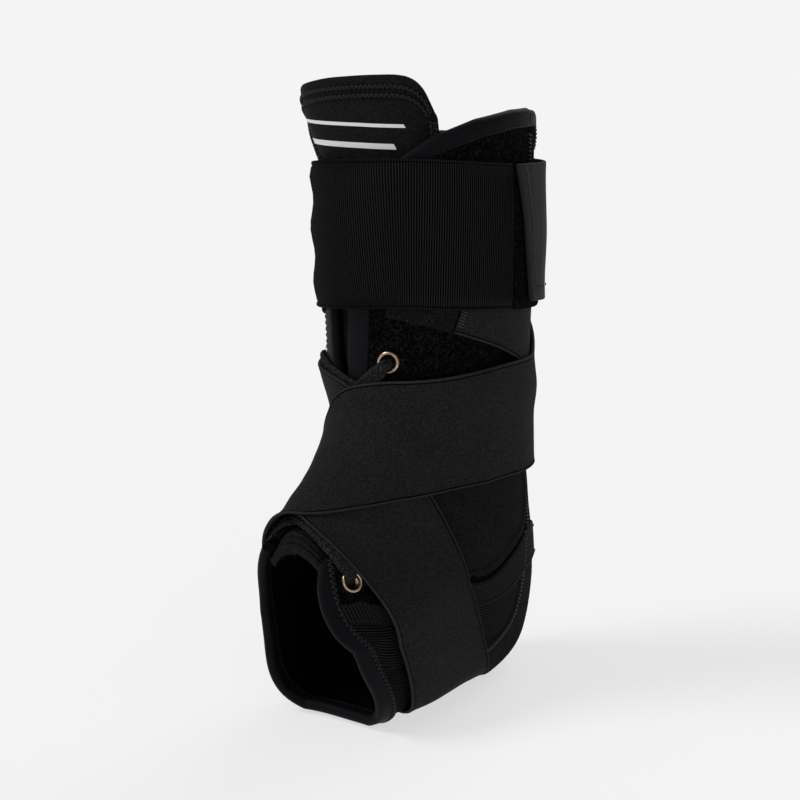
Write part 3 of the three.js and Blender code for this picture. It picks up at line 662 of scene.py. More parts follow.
def woven(width, middle):
    """Places across an elastic, close together over its selvedges, with so many between them."""
    side = np.concatenate([spaced(1, 2, STRAP_WALL / 2)[:3], np.linspace(STRAP_WALL / 2, SELVEDGE, 9)])
    inner = np.linspace(SELVEDGE, width - SELVEDGE, middle + 2)[1:-1]
    return np.concatenate([side, inner, width - side[::-1]])


def distances(points, axis):
    steps = np.linalg.norm(np.diff(points, axis=axis), axis=-1)
    start = np.zeros_like(np.take(steps, [0], axis))
    return np.concatenate([start, np.cumsum(steps, axis)], axis)


def cloth(name, finish, at, length, width, rows, cols, low, high, relief=None, fullness=1.0, true=False,
          lined=False, wall=None):
    """A closed sheet with rounded edges over places on the form, between two lifts.

    at gives stations and angles for distances along and across. relief raises the outer face.
    fullness 1 rounds the edges fully. wall is the thickness to round where the lifts vary.
    true measures the cloth coordinates on the surface itself. lined makes the inner face black.
    """
    radius = 0.5 * fullness * (wall or high - low)
    along = spaced(length, rows, radius) if np.ndim(rows) == 0 else rows
    across = spaced(width, cols, radius) if np.ndim(cols) == 0 else cols
    station, angle = at(along, across)
    v, u = np.meshgrid(along, across, indexing="ij")
    base = form(station, angle)
    spot = SimpleNamespace(v=v, u=u, station=station, angle=angle, length=length, width=width,
                           down=distances(base, 0), side=distances(base, 1),
                           edge=np.minimum(u, width - u), end=np.minimum(v, length - v),
                           area=area_of(base))
    bottom = low(station, angle) if callable(low) else np.full_like(station, low)
    top = high(station, angle) if callable(high) else np.full_like(station, high)
    near = [np.clip(1 - np.minimum(d, size - d) / radius, 0, 1) for d, size in ((v, length), (u, width))]
    inset = 1 - np.sqrt(np.clip(1 - near[0] ** 2 - near[1] ** 2, 0, 1))
    inset = inset * 0.49 * fullness * (top - bottom)
    raised = relief(spot) * (1 - inset / np.max(inset)) if relief else 0
    points = np.stack([place(station, angle, top - inset + raised), place(station, angle, bottom + inset)])
    n, m = station.shape
    ring = np.concatenate([
        np.arange(m), m - 1 + m * np.arange(1, n), (n - 1) * m + np.arange(m - 2, -1, -1),
        m * np.arange(n - 2, 0, -1),
    ])
    after = np.roll(ring, -1)
    sides = np.stack([ring, after, after + n * m, ring + n * m], -1).tolist()
    faces = grid_faces(n, m, n * m, True) + sides + grid_faces(n, m)
    uv = np.stack([spot.down, spot.side], -1) if true else np.stack([v, u], -1)
    made = mesh_object(name, points, faces, finish, np.stack([uv, uv]))
    if lined:
        made.data.materials.append(LINING.material)
        made.data.polygons.foreach_set("material_index", np.arange(len(faces)) < (n - 1) * (m - 1))
    return made, spot


def area_of(base):
    """The area of a grid of points, in square millimetres."""
    a = np.cross(base[1:, :-1] - base[:-1, :-1], base[:-1, 1:] - base[:-1, :-1])
    b = np.cross(base[1:, :-1] - base[1:, 1:], base[:-1, 1:] - base[1:, 1:])
    return float((np.linalg.norm(a, axis=-1) + np.linalg.norm(b, axis=-1)).sum() / 2)


def inside_line(spot, side, distance):
    """Places at a true distance inside one side of a sheet: top, foot, first or last."""
    if side in ("top", "foot"):
        run = spot.down if side == "top" else spot.down[-1:] - spot.down
        columns = [(run[:, j], spot.station[:, j], spot.angle[:, j]) for j in range(run.shape[1])]
    else:
        run = spot.side if side == "first" else spot.side[:, -1:] - spot.side
        columns = [(run[i], spot.station[i], spot.angle[i]) for i in range(run.shape[0])]
    found = []
    for line, station, angle in columns:
        order = np.argsort(line)
        found.append([np.interp(distance, line[order], station[order]),
                      np.interp(distance, line[order], angle[order])])
    return np.array(found).T


def meshed(at, length, width):
    """Turns a rule by shares along and across into one by distances."""
    def by_distance(along, across):
        v, u = np.meshgrid(along / length, across / width, indexing="ij")
        return at(v, u)

    return by_distance


def swept(name, finish, station, angle, away, across, lift):
    """A closed profile carried along a line of places, and the line's length.

    across and lift hold the profile's points, one row for each place.
    """
    n, k = across.shape
    start = np.repeat(station[:, None], k, 1), np.repeat(angle[:, None], k, 1)
    s, a, _ = walk(*start, np.repeat(away[:, None, :], k, 1), across)
    points = place(s, a, lift)
    run = distances(form(station, angle), 0)
    round_it = np.concatenate([[0], np.cumsum(np.hypot(np.diff(across[0]), np.diff(lift[0])))])
    i, j = np.meshgrid(np.arange(n - 1), np.arange(k), indexing="ij")
    here, beside = (i * k + j).ravel(), (i * k + (j + 1) % k).ravel()
    faces = np.stack([here, here + k, beside + k, beside], -1).tolist()
    faces += [list(range(k)), list(range((n - 1) * k, n * k))[::-1]]
    uv = np.stack(np.broadcast_arrays(run[:, None], round_it[None, :]), -1)
    return mesh_object(name, points, faces, finish, uv), float(run[-1])


# One stitch: rings of a short thread, thin at both ends, in an arch
STITCH_RINGS = np.array([[0, 0.4, 0], [0.16, 0.9, 0.55], [0.5, 1, 1], [0.84, 0.9, 0.55], [1, 0.4, 0]])
STITCH_SIDES = 6


def threads(starts, ends, normals, radius, arch):
    """Points and faces of many stitches, each from a start to an end."""
    run = ends - starts
    side = unit(np.cross(normals, run))
    up = unit(np.cross(run, side))
    turn = np.radians(np.arange(STITCH_SIDES) * 360 / STITCH_SIDES)
    rings = []
    for share, thick, high in STITCH_RINGS:
        centre = starts + run * share + up * arch * high
        for t in turn:
            rings.append(centre + (side * math.cos(t) + up * math.sin(t)) * radius * thick)
    points = np.stack(rings, 1)
    k = STITCH_SIDES
    one = [[r * k + j, r * k + (j + 1) % k, (r + 1) * k + (j + 1) % k, (r + 1) * k + j]
           for r in range(len(STITCH_RINGS) - 1) for j in range(k)]
    last = (len(STITCH_RINGS) - 1) * k
    one += [[0, 3, 2, 1], [0, 5, 4, 3], [last, last + 1, last + 2, last + 3],
            [last, last + 3, last + 4, last + 5]]
    faces = (np.array(one)[None] + np.arange(len(starts))[:, None, None] * points.shape[1])
    return points.reshape(-1, 3), faces.reshape(-1, 4)


def sewn(name, rows, finish=None):
    """One piece that holds rows of stitches.

    Each row is a line of places with its lift, the pitch of its stitches, their length, their sway
    to both sides, the thread's radius and the kind: lock, zigzag or bars across the line.
    """
    all_points, all_faces, count = [], [], 0
    for row in rows:
        station, angle = (np.asarray(x, float) for x in row["line"])
        line = place(station, angle, row["lift"])
        out = slopes(station, angle)[2]
        run = distances(line, 0)

        def at(distance, line=line, run=run, out=out):
            point = np.stack([np.interp(distance, run, line[:, k]) for k in range(3)], -1)
            normal = unit(np.stack([np.interp(distance, run, out[:, k]) for k in range(3)], -1))
            ahead = np.stack([np.interp(distance + 0.5, run, line[:, k])
                              - np.interp(distance - 0.5, run, line[:, k]) for k in range(3)], -1)
            return point, normal, unit(np.cross(normal, ahead))

        pitch = row["pitch"]
        middle = np.arange(pitch, run[-1] - pitch, pitch)
        if not len(middle):
            continue
        sway = row.get("sway", 0)
        if row.get("kind") == "zigzag":
            knots = np.arange(pitch / 2, run[-1] - pitch / 2, pitch / 2)
            point, normal, beside = at(knots)
            point = point + beside * (sway / 2 * np.where(np.arange(len(knots)) % 2, 1, -1))[:, None]
            starts, ends, normal = point[:-1], point[1:], normal[:-1]
        elif row.get("kind") == "bars":
            first, normal, beside = at(middle)
            second = at(middle + row.get("slant", 0))[0]
            starts, ends = first - beside * sway / 2, second + beside * sway / 2
        else:
            long = row.get("long", 0.7 * pitch)
            normal = at(middle)[1]
            starts, ends = at(middle - long / 2)[0], at(middle + long / 2)[0]
        points, faces = threads(starts, ends, normal, row.get("radius", 0.28), row.get("arch", 0.25))
        all_points.append(points)
        all_faces.append(faces + count)
        count += len(points)
    return mesh_object(name, np.concatenate(all_points), np.concatenate(all_faces).tolist(),
                       finish or THREAD)


# Lines on the brace

def shifted(station, angle, away, distance):
    s, a, _ = walk(station, angle, away, np.full_like(station, distance))
    return s, a


def away_from(station, angle, side):
    """Directions across a line of places, to its left for side 1."""
    line = form(station, angle)
    along = np.gradient(line, axis=0)
    return unit(np.cross(along, slopes(station, angle)[2])) * side


# How each side is turned

def throat_shift(station):
    """How far the throat's far edge is turned round above the instep."""
    return 28 * (1 - ease(station, 3, 9))


def sided(side, station, angle):
    """A near-side angle for side 1, or its counterpart on the far side."""
    if side > 0:
        return angle
    return -angle - throat_shift(station) * (1 - ease(angle, 20, 104))


def rim_line():
    """The toe rim as one smooth line: angles, and the stations of its rear and front edges."""
    angle = np.linspace(TOE_RIM["angle"][0], TOE_RIM["angle"][-1], 3000)
    rear, front = (np.interp(angle, TOE_RIM["angle"], TOE_RIM[edge]) for edge in ("rear", "front"))
    run = distances(form(front, angle), 0)
    even = np.linspace(0, run[-1], 300)
    angle, rear, front = (np.interp(even, run, line) for line in (angle, rear, front))
    for line in (rear, front):
        for _ in range(60):
            line[1:-1] = (line[:-2] + 2 * line[1:-1] + line[2:]) / 4
    return angle, rear, front


RIM_LINE = rim_line()


def rim_rear(angle):
    """The station where the panels and the cup end at the toe."""
    return np.interp(angle % 360, *RIM_LINE[:2]) + 0.03


def panel_place(side, u, v):
    """Places on a side panel, by shares across from the throat and down from the top."""
    row = v * (len(PANEL["throat_angle"]) - 1)
    columns = {name: column.copy() for name, column in PANEL.items()}
    if side < 0:
        for name, value in PANEL_RIGHT_TOE.items():
            columns[name][-1] = value

    def edge(name, row):
        station = smooth(columns[name + "_station"], row)
        return station, sided(side, station, smooth(columns[name + "_angle"], row))

    end = len(PANEL["throat_angle"]) - 1.0
    a, b = edge("throat", row), edge("outer", row)
    first = edge("throat", np.zeros(1)), edge("outer", np.zeros(1))
    last = edge("throat", np.full(1, end)), edge("outer", np.full(1, end))
    top_angle = mix(20, 111, u)
    top_station = np.interp(top_angle, PANEL_TOP["angle"], PANEL_TOP["station"])
    top = top_station, sided(side, 1.0, top_angle)
    toe_angle = mix(last[0][1], last[1][1], u)
    toe = rim_rear(toe_angle), toe_angle
    return tuple(
        mix(a[k], b[k], u) + (top[k] - mix(first[0][k], first[1][k], u)) * (1 - v) ** 3
        + (toe[k] - mix(last[0][k], last[1][k], u)) * v ** 6
        for k in range(2)
    )


def eyelet_spots(side):
    """Stations and angles of one side's eyelets, evenly spaced along their line."""
    share = np.linspace(0, 1, 201)
    row = share * (len(EYELET_LINE["angle"]) - 1)
    station, angle = smooth(EYELET_LINE["station"], row), smooth(EYELET_LINE["angle"], row)
    run = distances(form(station, angle), 0)
    want = run[-1] * np.arange(EYELETS_PER_SIDE) / (EYELETS_PER_SIDE - 1)
    s, a = np.interp(want, run, station), np.interp(want, run, angle)
    if side < 0:
        return s - 0.45 * ease(s, 9, 11), sided(side, s, a)
    return s - 0.2 * ease(s, 9.8, 10.9), a


VELOUR = velour_finish()
LINING = lining_finish()
TAPE = tape_finish()
PADDING = padding_finish()
ELASTIC = elastic_finish()
RIBBED = cuff_finish()
KNIT = knit_finish()
TWILL = twill_finish()
WEBBING = webbing_finish()
TAB = tab_finish()
HOOK = hook_finish()
CORD = cord_finish()
THREAD = thread_finish()
TACK = tack_finish()
BRASS = brass_finish()


def side_panels():
    length, width = 300, 100
    for name, side in SIDES:
        def at(v, u, side=side):
            return panel_place(side, u, v)

        def relief(spot):
            return swell(spot.station, spot.angle, 5, 0.22) * ease(spot.edge, 0, 6)

        panel, _ = cloth(name + "_panel_pad", VELOUR, meshed(at, length, width), length, width, 130, 74,
                         -PANEL_WALL, 0, relief, 0.5, lined=True)
        punch(panel, side)
        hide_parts(name + "_side_panel")
        edge_tape(name, side)


def punch(panel, side):
    """Cuts the holes that the eyelets are set in."""
    cutter = bmesh.new()
    for s, a in zip(*eyelet_spots(side)):
        centre = Vector(place(s, a, -PANEL_WALL / 2) * MM)
        out = Vector(slopes(s, a)[2])
        matrix = out.to_track_quat("Z", "Y").to_matrix().to_4x4()
        matrix.translation = centre
        bmesh.ops.create_cone(cutter, cap_ends=True, segments=32, radius1=(EYELET_BARREL + 0.3) * MM,
                              radius2=(EYELET_BARREL + 0.3) * MM, depth=3 * PANEL_WALL * MM, matrix=matrix)
    mesh = bpy.data.meshes.new("punch")
    cutter.to_mesh(mesh)
    cutter.free()
    tool = bpy.data.objects.new("punch", mesh)
    bpy.context.scene.collection.objects.link(tool)
    cut = panel.modifiers.new("holes", "BOOLEAN")
    cut.operation = "DIFFERENCE"
    cut.object = tool
    cut.solver = "EXACT"
    bpy.context.view_layer.update()
    holed = bpy.data.meshes.new_from_object(panel.evaluated_get(bpy.context.evaluated_depsgraph_get()))
    panel.modifiers.clear()
    panel.data = holed
    bpy.data.objects.remove(tool)


def wrap_profile(width, top, bottom, lip=1.3):
    """A tape folded over an edge: a lip on the fabric, a full round outer edge, flat below."""
    middle, half = (top + bottom) / 2, (top - bottom) / 2
    turn = np.radians(np.linspace(80, -90, 12))
    round_x = [width - half * 0.9 + half * 0.9 * math.cos(t) for t in turn]
    round_y = [middle + half * math.sin(t) for t in turn]
    x = [0.15, -lip, -lip + 0.25, 0.6] + round_x + [0.15]
    y = [0.12, 0.12, top - 0.12, top] + round_y + [bottom]
    return np.array(x), np.array(y)


def edge_tape(name, side):
    """Binding along a side panel's top edge and down its throat."""
    columns = np.linspace(0, 1, 60)
    over_top = panel_place(side, 1 - columns, np.zeros(60))
    rows = np.linspace(0, 0.955, 150)[1:]
    throat = panel_place(side, np.zeros(149), rows)
    station = np.concatenate([over_top[0], throat[0]])
    angle = np.concatenate([over_top[1], throat[1]])
    line = form(station, angle)
    run = distances(line, 0)
    even = np.linspace(0, run[-1], 220)
    station, angle = np.interp(even, run, station), np.interp(even, run, angle)
    away = away_from(station, angle, side)
    for _ in range(6):
        away[1:-1] = unit(away[:-2] + away[1:-1] * 2 + away[2:])
    width = mix(TOP_BINDING, THROAT_BINDING, ease(station, 1.2, 2.2))
    width = mix(width, TOP_BINDING, ease(station, 4, 6)) + EDGE_GAP
    profiles = [wrap_profile(w, TAPE_PROUD, -PANEL_WALL - 0.1) for w in width]
    tape, tape_length = swept(name + "_edge_tape", TAPE, station, angle, away,
                              np.array([p[0] for p in profiles]), np.array([p[1] for p in profiles]))
    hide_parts(name + "_edge_binding")
    sewn(name + "_edge_stitches", [{"line": shifted(station, angle, away, TAPE_ROW_INSIDE), **TAPE_ROW}])


def back_start(station):
    """The angle where the back panel meets the left one."""
    outer = PANEL["outer_station"][:6]
    return np.interp(station, outer, PANEL["outer_angle"][:6]) + 0.9


def back_edge(u):
    """The station of the back panel's top edge, which dips in the middle."""
    return BACK_TOP + BACK_DIP * ease(1 - np.abs(1 - 2 * u), 0.12, 0.45)


def back_panel():
    def at(v, u):
        low = np.interp(180 - np.abs(1 - 2 * u) * 55, CUP_EDGE["angle"], CUP_EDGE["station"]) - 0.03
        station = mix(back_edge(u), low, v)
        start = back_start(station)
        return station, mix(start, 360 - start, u)

    length, width = 190, 100

    def relief(spot):
        return swell(spot.station, spot.angle, 5, 0.2) * ease(spot.edge, 0, 6)

    panel, _ = cloth("back_panel_pad", VELOUR, meshed(at, length, width), length, width, 110, 70,
                     -PANEL_WALL, 0, relief, 0.5, lined=True)
    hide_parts("back_panel")
    share = np.linspace(0, 1, 60)
    station = back_edge(share)
    start = back_start(station)
    angle = mix(start, 360 - start, share)
    away = away_from(station, angle, 1)
    if away[30] @ np.array([0, 0, 1]) < 0:
        away = -away
    x, y = wrap_profile(TOP_BINDING, TAPE_PROUD, -PANEL_WALL - 0.1)
    tape, tape_length = swept("back_edge_tape", TAPE, station, angle, away,
                              np.tile(x, (60, 1)), np.tile(y, (60, 1)))
    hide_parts("back_edge_binding")
    rows = [{"line": shifted(station, angle, away, TAPE_ROW_INSIDE), **TAPE_ROW}]
    stations = np.linspace(0.7, 5.3, 120)
    for turn in (1, -1):
        seam = back_start(stations) - 0.45
        rows.append({"line": (stations, seam if turn > 0 else 360 - seam), "lift": 0.15,
                     "pitch": 1.7, "kind": "bars", "sway": 3.4, "slant": 0.9, "radius": 0.42, "arch": 0.35})
    sewn("back_seam_stitches", rows)


def cup_edge(corner):
    """The cup's sewn top edge from a toe corner to the back of the heel, by even shares."""
    angle = np.linspace(corner, 180, 400)
    station = np.interp(angle, CUP_EDGE["angle"], CUP_EDGE["station"]) + 0.03
    run = distances(form(station, angle), 0)
    return run / run[-1], station, angle


def heel_cup():
    """Knit with ribs along its top edge, cut in two halves that meet under the foot."""
    length, width = 75, 300
    corners = (64.5, 73)
    edges = [cup_edge(corner) for corner in corners]

    def at(v, u):
        turn = 2 * u - 1
        forward = np.abs(turn)
        halves = []
        for corner, (share, station, angle), sign in zip(corners, edges, (1, -1)):
            edge_station = np.interp(1 - forward, share, station)
            edge_angle = np.interp(1 - forward, share, angle)
            sole_station = mix(HEEL_TURN, rim_rear(180.0), forward)
            s = mix(edge_station, sole_station, v)
            a = mix(edge_angle, UNDERFOOT, v)
            rim_angle = mix(corner, UNDERFOOT, v)
            rim_station = rim_rear(rim_angle if sign > 0 else 360 - rim_angle)
            straight = mix(station[0], rim_rear(180.0), v)
            s = s + (rim_station - straight) * forward ** 8
            halves.append((s, a if sign > 0 else 360 - a))
        left = turn < 0
        return tuple(np.where(left, halves[0][k], halves[1][k]) for k in range(2))

    def relief(spot):
        return ribs(spot.down, CUP_RIB, 0.65) * ease(spot.end, 0, 2) * ease(spot.edge, 0, 2)

    cup, spot = cloth("heel_cup_knit", KNIT, meshed(at, length, width), length, width, 230, 120,
                      -CUP_WALL, 0, relief, 0.6, True, True)
    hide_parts("heel_and_sole_cup")
    stations = np.linspace(5.3, 8.3, 90)
    sewn("heel_seam_stitches", [
        {"line": (stations, np.full(90, 119.0)), "lift": 0.35, "pitch": 1.7, "kind": "bars", "sway": 3.2,
         "slant": 0.9, "radius": 0.6, "arch": 0.4},
    ])


def toe_tape():
    """Padded binding round the toe opening, with a zigzag outside and a plain row inside."""
    angle, rear, front = RIM_LINE
    width = np.linalg.norm(form(front, angle) - form(rear, angle), axis=-1)
    away = unit(form(front, angle) - form(rear, angle))
    profiles = [wrap_profile(w, 0.6, -PANEL_WALL) for w in width]
    tape, tape_length = swept("toe_tape", TAPE, rear, angle, away,
                              np.array([p[0] for p in profiles]), np.array([p[1] for p in profiles]))
    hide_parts("toe_binding")
    near = shifted(rear, angle, away, -0.9)
    inner = shifted(rear, angle, away, 1.2)
    sewn("toe_stitches", [
        {"line": near, "lift": 0.35, "pitch": 2.3, "kind": "zigzag", "sway": 2.6, "radius": 0.5,
         "arch": 0.35},
        {"line": inner, "lift": -PANEL_WALL - 0.05, "pitch": 3.2, "long": 2.2, "radius": 0.3},
    ])


def ankle_band():
    """Webbing over the cup's sewn edge, from the near toe corner round the heel."""
    last = len(BAND["top_angle"]) - 1
    rows_left_off = 2.3
    width = 10
    share_end = 1 - rows_left_off / last / 2

    def at(v, u):
        turn = 2 * v * share_end - 1
        row = (1 - np.abs(turn)) * last
        a_station, b_station = smooth(BAND["top_station"], row), smooth(BAND["low_station"], row)
        angle = mix(smooth(BAND["top_angle"], row), smooth(BAND["low_angle"], row), u)
        return mix(a_station, b_station, u), np.where(turn > 0, 360 - angle, angle)

    line = form(*at(np.linspace(0, 1, 600), np.full(600, 0.5)))
    run = distances(line, 0)
    length = float(run[-1])

    def even(along, across):
        v = np.interp(along, run, np.linspace(0, 1, 600))
        return at(*np.meshgrid(v, across / width, indexing="ij"))

    def relief(spot):
        inside = ease(spot.edge, 1.0, 1.5)
        return ribs(spot.v, BAND_RIB, 0.45) * inside + 0.15 * (1 - ease(spot.edge, 1.1, 1.6))

    band, spot = cloth("ankle_band_webbing", WEBBING, even, length, width, int(length / BAND_RIB * 4), 14,
                       BAND_GAP - 0.5, BAND_GAP + BAND_WALL - 0.65, relief, 0.9)
    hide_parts("ankle_band")
    rows = []
    for across in (1.3, width - 1.2):
        s, a = even(np.linspace(1, length - 1, 400), np.array([across]))
        rows.append({"line": (s[:, 0], a[:, 0]), "lift": BAND_GAP + BAND_WALL - 0.4, "pitch": 2.2,
                     "radius": 0.22})
    sewn("band_stitches", rows)


def stay_pockets():
    length, width = 112, 45
    for name, side in SIDES:
        def at(v, u, side=side):
            row = v * (len(POCKET["station"]) - 1)
            angle = mix(smooth(POCKET["front_angle"], row), smooth(POCKET["back_angle"], row), u)
            return smooth(POCKET["station"], row), side * angle

        def relief(spot):
            hem = 0.45 * (1 - ease(spot.width - spot.u, 2.6, 3.2))
            puff = 0.9 * ease(spot.edge, 2, 14) * ease(spot.end, 2, 20)
            return hem + puff + swell(spot.station, spot.angle, 9, 0.14)

        pocket, spot = cloth(name + "_pocket_twill", TWILL, meshed(at, length, width), length, width,
                             90, 48, GAP - 0.3, GAP + PATCH_WALL - 0.2, relief, 0.9)
        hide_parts(name + "_stay_pocket")
        hem_line = at(np.linspace(0.02, 0.98, 200), np.full(200, 0.94))
        sewn(name + "_pocket_stitches", [
            {"line": hem_line, "lift": GAP + PATCH_WALL + 0.15, "pitch": 2.4, "radius": 0.22},
        ])


def flare(station, angle):
    """How far the tongue's top leans away from the leg."""
    return TONGUE_FLARE * (1 - ease(station, 0.25, 1.6)) * (1 - ease(angle, -50, 5))


def tongue_place(v, u):
    """Places on the tongue, by shares down from its rounded top and across."""
    top = sum(np.interp(np.clip(u + shift, 0, 1), TONGUE_TOP["share"], TONGUE_TOP["station"])
              for shift in (-0.04, -0.02, 0, 0.02, 0.04)) / 5
    station = mix(top, 11.3, v ** 1.25)
    right = np.interp(station, TONGUE["station"], TONGUE["right_angle"])
    left = np.interp(station, TONGUE["station"], TONGUE["left_angle"])
    return station, mix(right, left, u)


def tongue():
    length, width = 300, 78

    def under_panel(station, angle):
        roll = TOE_ROLL * ease(station, 10.65, 11.3) * np.exp(-(((angle + 5) / 26) ** 2))
        return flare(station, angle) - PANEL_WALL - 0.8 - roll

    def relief(spot):
        beside = np.minimum(spot.side, spot.side[:, -1:] - spot.side)
        edge = np.minimum(beside, spot.down)
        rows = groove(edge, 4.7, 0.8, 0.5) + groove(edge, 8.2, 0.8, 0.5)
        toe = spot.down[-1:] - spot.down
        ridges = sum(ridge(toe, c, 0.95, 1.0) for c in (1.3, 3.2, 5.1, 7.0, 8.9))
        return rows + ridges + swell(spot.station, spot.angle, 4, 0.25) * ease(edge, 0, 8)

    down = spaced(length, 170, 1.5)
    down = np.unique(np.concatenate([down[down < 278], np.linspace(278, length - 2, 80), down[-4:]]))
    pad, spot = cloth("tongue_pad", PADDING, meshed(tongue_place, length, width), length, width, down, 72,
                      lambda s, a: under_panel(s, a) - TONGUE_WALL, under_panel, relief, 0.75, True, True,
                      wall=TONGUE_WALL)
    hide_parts("tongue")
    rows = []
    for inside in (4.7, 8.2):
        first = inside_line(spot, "first", inside)
        last = inside_line(spot, "last", inside)
        top = inside_line(spot, "top", inside)
        wide = spot.side[0]
        middle = (wide > inside) & (wide < wide[-1] - inside)
        long = spot.down[:, 0]
        left = np.stack([first[0][long > inside], first[1][long > inside]])
        right = np.stack([last[0][long > inside], last[1][long > inside]])
        for line in (left[:, :150], top[:, middle], right[:, :150]):
            lift = under_panel(*line) + 0.1
            rows.append({"line": line, "lift": lift, "pitch": 2.2, "kind": "zigzag", "sway": 1.8,
                         "radius": 0.62, "arch": 0.3})
    sewn("tongue_stitches", rows)


class Route:
    """A strap's centre line over the form."""

    def __init__(self, route, side):
        self.route = route
        self.side = side

    def spot(self, row):
        return smooth(self.route["station"], row), self.side * smooth(self.route["angle"], row)

    def row_of(self, angle):
        rows = np.linspace(0, len(self.route["angle"]) - 1, 4000)
        angles = smooth(self.route["angle"], rows)
        rising = angles[-1] > angles[0]
        return float(np.interp(angle, angles if rising else angles[::-1], rows if rising else rows[::-1]))

    def ribbon(self, first_angle, last_angle, width, slant=0):
        """Its length, and the rule for places by distance along and across.

        slant is how much further along the first side starts.
        """
        rows = np.linspace(self.row_of(first_angle), self.row_of(last_angle), 800)
        run = distances(form(*self.spot(rows)), 0)

        def at(along, across):
            row = np.interp(along, run, rows)
            station, angle = self.spot(row)
            line = form(*self.spot(row + 0.3)) - form(*self.spot(row - 0.3))
            lead = slant / width * (1 - ease(along, 0, 70))
            beside = unit(np.cross(slopes(station, angle)[2], line)) - unit(line) * lead[:, None]
            beside = unit(beside)
            offsets = across - width / 2
            columns = {}
            for turn in (1, -1):
                s, a, direction, reached = station, angle, beside, 0.0
                order = sorted((o for o in offsets if o * turn >= 0), key=abs)
                for o in order:
                    s, a, direction = walk(s, a, direction, np.full_like(s, o - reached))
                    reached = o
                    columns[float(o)] = (s, a)
            return tuple(np.stack([columns[float(o)][k] for o in offsets], 1) for k in range(2))

        return float(run[-1]), at

    def cover(self, width, first_angle, last_angle, fade):
        """How much of the strap lies below a place: 1 on it, 0 clear of it."""
        rows = np.linspace(self.row_of(first_angle), self.row_of(last_angle), 240)
        centre = form(*self.spot(rows))

        def share(station, angle):
            points = form(station, angle)
            nearest = np.full(points.shape[:-1], 1e9)
            for c in centre:
                nearest = np.minimum(nearest, ((points - c) ** 2).sum(-1))
            return 1 - ease(np.sqrt(nearest), width / 2 + 0.6, width / 2 + fade)

        return share


OUTER = Route(STRAP_ROUTE, 1)
INNER = Route(STRAP_ROUTE, -1)
ON_INNER = INNER.cover(STRAP_WIDTH, -112, INNER_END, 14)
UNDER_CUFF = [INNER.cover(STRAP_WIDTH, 180, INNER_END, 30), OUTER.cover(STRAP_WIDTH, 180, OUTER_END, 30)]


def over_fabric(station, angle):
    """The lift of the lower strap's inner face."""
    return (STRAP_GAP + 0.2 * ease(station, 7, 8)
            + (UNDER_STRAPS - STRAP_GAP) * ease(station, 2.5, 3.2) * (1 - ease(turned(angle), 122, 140)))


def over_inner(station, angle):
    """The lift of the upper strap's inner face, raised where it crosses the lower one."""
    return over_fabric(station, angle) + (STRAP_WALL + STRAP_GAP + 0.1) * ON_INNER(station, angle)


def over_straps(station, angle):
    """The cuff is stretched almost straight over the strap ends below it."""
    below = UNDER_CUFF[0](station, angle) + UNDER_CUFF[1](station, angle)
    return STRAP_GAP + 0.3 + (STRAP_WALL + STRAP_GAP) * below


def selvedge(spot):
    """A firm woven edge: a raised cord along each side, with a groove and a second cord beside it."""
    cords = ridge(spot.edge, 0.55, 0.55, 0.3) + groove(spot.edge, 1.25, 0.25, 0.4)
    return cords + ridge(spot.edge, 1.9, 0.5, 0.15)


def straps():
    for name, route, lift, end in (
        ("inner", INNER, over_fabric, INNER_END),
        ("outer", OUTER, over_inner, OUTER_END),
    ):
        def top(s, a, lift=lift):
            return lift(s, a) + STRAP_WALL

        def relief(spot):
            return selvedge(spot) + swell(spot.station, spot.angle, 6, 0.1) * ease(spot.edge, 1, 10)

        length, at = route.ribbon(SEWN, TAB_SEAM, STRAP_WIDTH)
        strap, _ = cloth(name + "_strap_elastic", ELASTIC, at, length, STRAP_WIDTH, 300,
                         woven(STRAP_WIDTH, 18), lift, top, relief, wall=STRAP_WALL)
        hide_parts(name + "_strap")
        tab_length, tab_at = route.ribbon(TAB_SEAM + 0.8, end, STRAP_WIDTH)
        hook, _ = cloth(name + "_strap_hook", HOOK, tab_at, tab_length, STRAP_WIDTH, 40, 46, lift, top,
                        lambda spot: 0.15 * swell(spot.station, spot.angle, 20, 1), wall=STRAP_WALL)
        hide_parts(name + "_strap_tab")
        across = np.linspace(1.5, STRAP_WIDTH - 1.5, 80)
        s, a = at(np.array([length - 1.6]), across)
        sewn(name + "_strap_tacks", [
            {"line": (s[0], a[0]), "lift": top(s[0], a[0]) + 0.1, "pitch": 1.25, "kind": "bars",
             "sway": 3.0, "slant": 0.3, "radius": 0.42, "arch": 0.3},
        ], TACK)


